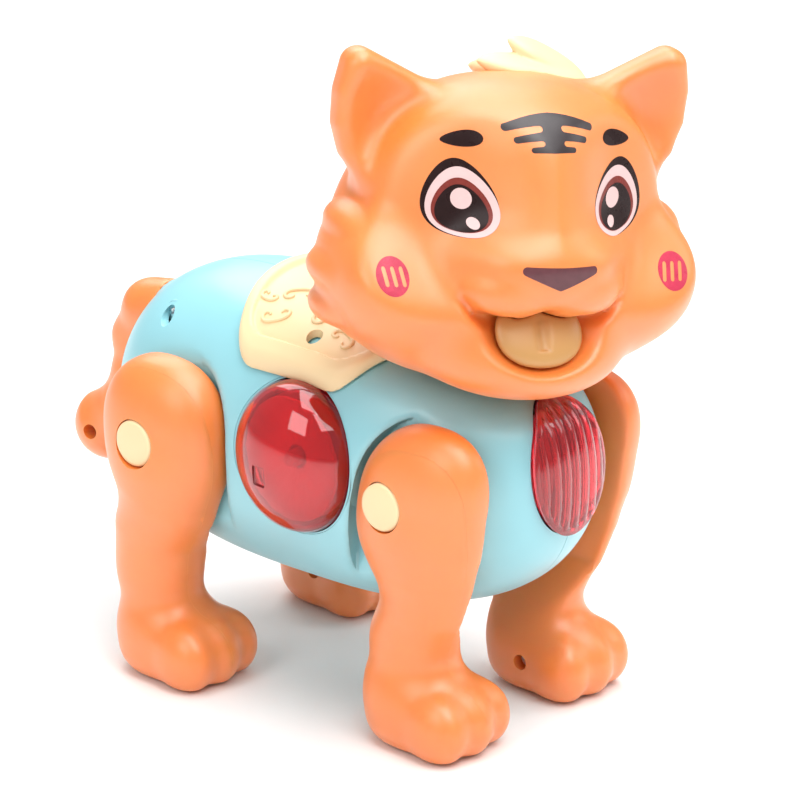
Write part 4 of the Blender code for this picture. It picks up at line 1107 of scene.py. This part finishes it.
def dome(shrink):
    """Rings of half an ellipsoid and a little more, from its crown about +X downwards."""
    height_x, half_y, half_z = SIDE_LENS_BULGE - shrink, SIDE_LENS[2] - shrink, SIDE_LENS[3] - shrink
    points = []
    for n in range(DOME_RINGS + 1):
        height = 1.0 - (1.0 + DOME_SKIRT) * (n / DOME_RINGS) ** 1.6
        out = math.sqrt(max(0.0, 1.0 - height * height))
        for t in turns(DOME_SIDES):
            points.append((height_x * height, half_y * out * math.cos(t), half_z * out * math.sin(t)))
    return points


def side_lens(side, flank):
    y, z, half_y, half_z = SIDE_LENS
    outer = dome(0.0)
    count = len(outer)
    edit = bmesh.new()
    verts = [edit.verts.new((side * (SIDE_LENS_SEAT + px), y + py, z + pz))
             for px, py, pz in outer + dome(2.0 * MM)]
    faces = ring_quads(DOME_RINGS, DOME_SIDES)
    faces += [[v + count for v in quad[::-1]] for quad in faces]
    rim = list(range(count - DOME_SIDES, count))
    faces += [[a, b, count + b, count + a] for a, b in zip(rim, rim[1:] + rim[:1])]
    for face in faces:
        edit.faces.new([verts[v] for v in face])
    bmesh.ops.remove_doubles(edit, verts=edit.verts, dist=0.002 * MM)
    lens = from_bmesh(edit)
    along, down = 3.4 * MM, 3.2 * MM
    rise = SIDE_LENS_BULGE * math.sqrt(1.0 - (along / half_y) ** 2 - (down / half_z) ** 2) + 4.8 * MM
    notch = box(mm(-6, -2.3, -3.0), mm(6, 2.3, 3.0), 0.5 * MM)
    notch.data.transform(Matrix.Translation((side * (SIDE_LENS_SEAT + rise), y + along, z - down)))
    combine(lens, notch)
    fit(lens, "dome_" + flank, "torso", "red_clear", "side_lens_" + flank)


def reflector(side, flank):
    """A ribbed white dish behind the dome, open in the middle for the lamp."""
    y, z, half_y, half_z = SIDE_LENS
    rings, ribs = 10, 16
    verts = []
    for n in range(rings + 1):
        out = 0.16 + 0.64 * n / rings
        for t in turns(DOME_SIDES):
            rise = 0.5 + 5.0 * out * out + 0.25 * math.cos(ribs * t) * out
            verts.append((side * (SIDE_LENS_SEAT + rise * MM), y + half_y * out * math.cos(t),
                          z + half_z * out * math.sin(t)))
    dish = raw(verts, ring_quads(rings, DOME_SIDES))
    finish(thicken(dish, 0.8 * MM), "reflector_" + flank, "torso", LOOKS["lamp_white"])


def bezel(side, flank):
    """The thin collar of the body that stands round a dome, level with the skin."""
    y, z, half_y, half_z = SIDE_LENS
    sides = 128
    turn = np.linspace(0.0, 2.0 * math.pi, sides, endpoint=False)
    rings = []
    for grow in (0.15 * MM, 0.6 * MM):
        across, up = y + (half_y + grow) * np.cos(turn), z + (half_z + grow) * np.sin(turn)
        out = np.full(sides, BODY_HALF_WIDTH)
        for _ in range(60):
            out = out - 0.7 * barrel(np.column_stack([out, across, up]))
        rings.append(np.column_stack([side * (out - 0.1 * MM), across, up]))
        rings.append(np.column_stack([np.full(sides, side * 28.0 * MM), across, up]))
    top_in, low_in, top_out, low_out = (np.arange(sides) + n * sides for n in range(4))
    faces = []
    for a, b in ((top_in, top_out), (top_out, low_out), (low_out, low_in), (low_in, top_in)):
        faces += np.column_stack([a, np.roll(a, -1), np.roll(b, -1), b])[:, ::side].tolist()
    collar = raw(np.concatenate(rings).tolist(), faces)
    fit(collar, "dome_collar_" + flank, "torso", "blue_plastic")


def slider():
    """The switch knob, ribbed and level with the belly."""
    low, high = -4.8, 0.4
    knob = box(mm(low, -51.8, 40.6), mm(high, -48.2, 45.8), 0.3 * MM)
    for step in range(3):
        x = low + 1.3 * (step + 1)
        combine(knob, box(mm(x - 0.3, -53, 40), mm(x + 0.3, -47, 41.1)))
    fit(knob, "switch_slider", "switch", "dark_plastic", "switch_knob")


def chest_lens():
    x0, z0, half_x, half_z = CHEST_LENS
    margin, rib_pitch, rib_depth = 2 * MM, 4.0 * MM, 0.34 * MM

    def outline(x, z):
        return (np.hypot((x - x0) / half_x, (z - z0) / half_z) - 1.0) * half_x

    reach = np.array((half_x + margin, half_z + margin))
    verts, faces = flat_patch(outline, (x0, z0) - reach, (x0, z0) + reach, 0.45 * MM)
    x, z = verts[:, 0], verts[:, 1]
    points = press_on(barrel, x, z, -90.0 * MM, 80)
    edge = smooth_step(0.5 * MM, 2.0 * MM, -outline(x, z))
    points[:, 1] += rib_depth * (1.0 - np.cos(2.0 * math.pi * x / rib_pitch)) * edge
    lens = thicken(raw(points.tolist(), faces), 2.0 * MM)
    fit(lens, "chest_window", "torso", "red_clear", "chest_lens")


# Legs and tail

def leg(side, flank, plan):
    name, hub, outer = plan.name + flank, plan.hub, plan.outer
    start, end, top = plan.span
    near, far = sorted((side * 8, side * 56))
    whole = skin(lambda p: leg_form(p, side, plan), mm(near, start, -3), mm(far, end, top), LEG_CELL)
    for radius, low, high, sides in ((4.3 * MM, hub.x - 5 * MM, outer - 5 * MM, 48),
                                     (CAP_RADIUS + 0.35 * MM, outer - 3.4 * MM, 70 * MM, 64)):
        combine(whole, rod(radius, (side * low, hub.y, HUB_Z), (side * high, hub.y, HUB_Z), sides))
    combine(whole, sole_plate(side, plan, 0.0, -5 * MM, 1.2 * MM))
    deep, ahead, high = plan.screw
    combine(whole, rod(2.3 * MM, mm(side * 2, ahead, high), mm(side * deep, ahead, high)))
    screw(name.replace("leg", "paw"), name, mm(side * (deep - PAW_SCREW_BACK), ahead, high), (-side, 0, 0))
    (xa, za), (xb, zb) = plan.seam
    normal = Vector((side * (za - zb), 0.0, xb - xa)).normalized()
    point = Vector((side * xa * MM, 0.0, za * MM))
    for part, way in (("outer", -1.0), ("inner", 1.0)):
        half = half_of(whole, point - way * normal * SEAM_HALF, way * normal)
        fit(half, name + "_" + part + "_half", name, "orange_vinyl", name + "_" + part)
    discard(whole)
    tread(side, plan, name)
    hub_cap(Matrix.Translation((side * (outer - 3.1 * MM), hub.y, HUB_Z)), side, name)


def sole_plate(side, plan, shrink, low, high):
    across, ahead = plan.sole
    return plate(ellipse(side * across * MM, ahead * MM, 9.2 * MM, 12.2 * MM, -shrink), 2, low, high)


def tread(side, plan, name):
    sole = sole_plate(side, plan, 0.3 * MM, 0.0, 1.0 * MM)
    x, ahead = side * plan.sole[0], plan.sole[1]
    for step in (-6.0, -3.0, 0.0, 3.0, 6.0):
        y = ahead + step
        combine(sole, box(mm(x - 20, y - 0.5, -1), mm(x + 20, y + 0.5, 0.5)))
    fit(sole, name + "_tread", name, "sole_rubber", name + "_sole")


def hub_cap(place, side, name):
    r = CAP_RADIUS
    stations = [(0, 0), (r, 0), (r, 2.3 * MM), (r - 0.15 * MM, 2.75 * MM), (r - 0.55 * MM, 3.05 * MM),
                (r - 1.2 * MM, 3.2 * MM), (0.5 * r, 3.45 * MM), (0, 3.55 * MM)]
    cap = turned(stations, place @ Matrix.Rotation(side * math.pi / 2, 4, "Y"))
    fit(cap, name + "_hub_cap", name, "cream_plastic", name + "_cap")


def screw(name, body, place, way):
    """A small cross-head screw whose head sits at `place` and looks along `way`."""
    r = 1.9 * MM
    stations = [(0, 0), (r, 0), (r, 0.5 * MM), (0.8 * r, 0.9 * MM), (0, 1.1 * MM)]
    head = turned(stations, Matrix.Identity(4), 32)
    for length, width in ((2.4, 0.5), (0.5, 2.4)):
        combine(head, box(mm(-length / 2, -width / 2, 0.4), mm(length / 2, width / 2, 3)))
    turn = Vector(way).to_track_quat("Z", "Y").to_matrix().to_4x4()
    head.data.transform(Matrix.Translation(place) @ turn)
    finish(head, "screw_" + name, body, LOOKS["bright_steel"])


def rump_screw(side, flank):
    boss = rod(3.8 * MM, mm(side * 0.1, *RUMP_SCREW), mm(side * BOSS_REACH, *RUMP_SCREW))
    fit(boss, "screw_boss_" + flank, "torso", "blue_plastic")
    screw("rump_" + flank, "torso", mm(side * (BOSS_REACH + 0.1), *RUMP_SCREW), (side, 0, 0))


def tail():
    whole = skin(tail_form, mm(-15, 70, 34), mm(15, 124, 112), 0.9 * MM * COARSE)
    combine(whole, rod(3.8 * MM, (0, 66 * MM, TAIL_Z), (0, TAIL_Y + 6.5 * MM, TAIL_Z)))
    combine(whole, rod(2.3 * MM, mm(-30, *TAIL_SCREW), mm(-4.5, *TAIL_SCREW)))
    for side, flank in FLANKS:
        half = half_of(whole, (side * 0.1 * MM, 0, 0), (-side, 0, 0))
        fit(half, "tail_half_" + flank, "tail", "orange_vinyl", "tail_" + flank)
    discard(whole)
    screw("tail", "tail", mm(-6.0, *TAIL_SCREW), (-1, 0, 0))


# Carried-over nodes, stage, light and camera

def dress_nodes():
    slots = {part["node"]: part["material_slot"] for part in frame["record"]["subparts"]}
    for node, made in frame["nodes"].items():
        for slot in made.material_slots:
            slot.material = LOOKS[slots[node]]


def stage():
    corners = [(x * FLOOR_REACH, y * FLOOR_REACH, FLOOR_Z) for x, y in ((-1, -1), (1, -1), (1, 1), (-1, 1))]
    floor = raw(corners, [(0, 1, 2, 3)])
    floor.name = "floor"
    look, tree, shader = new_material("pale_floor")
    tint = ramp(tree, noise(tree, 6.0), (NOISE_LOW, (0.88, 0.875, 0.87)), (NOISE_HIGH, (0.91, 0.905, 0.90)))
    tree.links.new(tint, shader.inputs["Base Color"])
    put(shader, {"Roughness": 0.75})
    floor.data.materials.append(look)


def soft_box(name, place, target, size, power):
    light = bpy.data.lights.new(name, "AREA")
    light.shape = "RECTANGLE"
    light.size, light.size_y = size
    light.energy = power
    made = linked(name, light)
    made.location = place
    made.rotation_euler = (Vector(target) - Vector(place)).to_track_quat("-Z", "Y").to_euler()


def lighting():
    world = bpy.data.worlds.new("studio")
    world.use_nodes = True
    put(world.node_tree.nodes["Background"], {"Color": (1.0, 0.99, 0.98, 1.0), "Strength": 0.42})
    bpy.context.scene.world = world
    middle = (0.0, 0.0, 0.1)
    soft_box("key", (-0.3, -0.85, 1.2), middle, (0.9, 0.7), 8.0)
    soft_box("top", (0.1, -0.2, 1.5), middle, (1.4, 1.3), 25.0)
    soft_box("side", (-1.2, 0.0, 0.95), middle, (0.7, 0.7), 6.0)
    soft_box("near", (0.9, -0.8, 0.7), middle, (0.6, 0.6), 2.5)
    soft_box("back", (0.9, 1.1, 1.3), (0.5, 0.6, 0.0), (1.2, 1.2), 14.0)


def camera():
    lens = bpy.data.cameras.new("camera")
    lens.sensor_width = SENSOR_MM
    lens.lens = PIXELS_PER_MM * SENSOR_MM * CAMERA_DISTANCE / MM / IMAGE_PIXELS
    made = linked("camera", lens)
    flat = math.cos(CAMERA_ELEVATION)
    back = Vector((math.sin(CAMERA_AZIMUTH) * flat, -math.cos(CAMERA_AZIMUTH) * flat,
                   math.sin(CAMERA_ELEVATION)))
    made.location = CAMERA_TARGET + CAMERA_DISTANCE * back
    made.rotation_euler = back.to_track_quat("Z", "Y").to_euler()
    bpy.context.scene.camera = made
    bpy.context.scene.view_settings.view_transform = "Standard"


dress_nodes()
head_shells()
head_trim()
face_prints()
body_shells()
saddle()
slider()
chest_lens()
for flank_side, flank_name in FLANKS:
    side_lens(flank_side, flank_name)
    reflector(flank_side, flank_name)
    bezel(flank_side, flank_name)
    leg(flank_side, flank_name, FRONT)
    leg(flank_side, flank_name, REAR)
    rump_screw(flank_side, flank_name)
tail()
screw("door", "torso", mm(0, DOOR_SCREW_Y, 32.3), (0, 0, -1))
stage()
lighting()
camera()
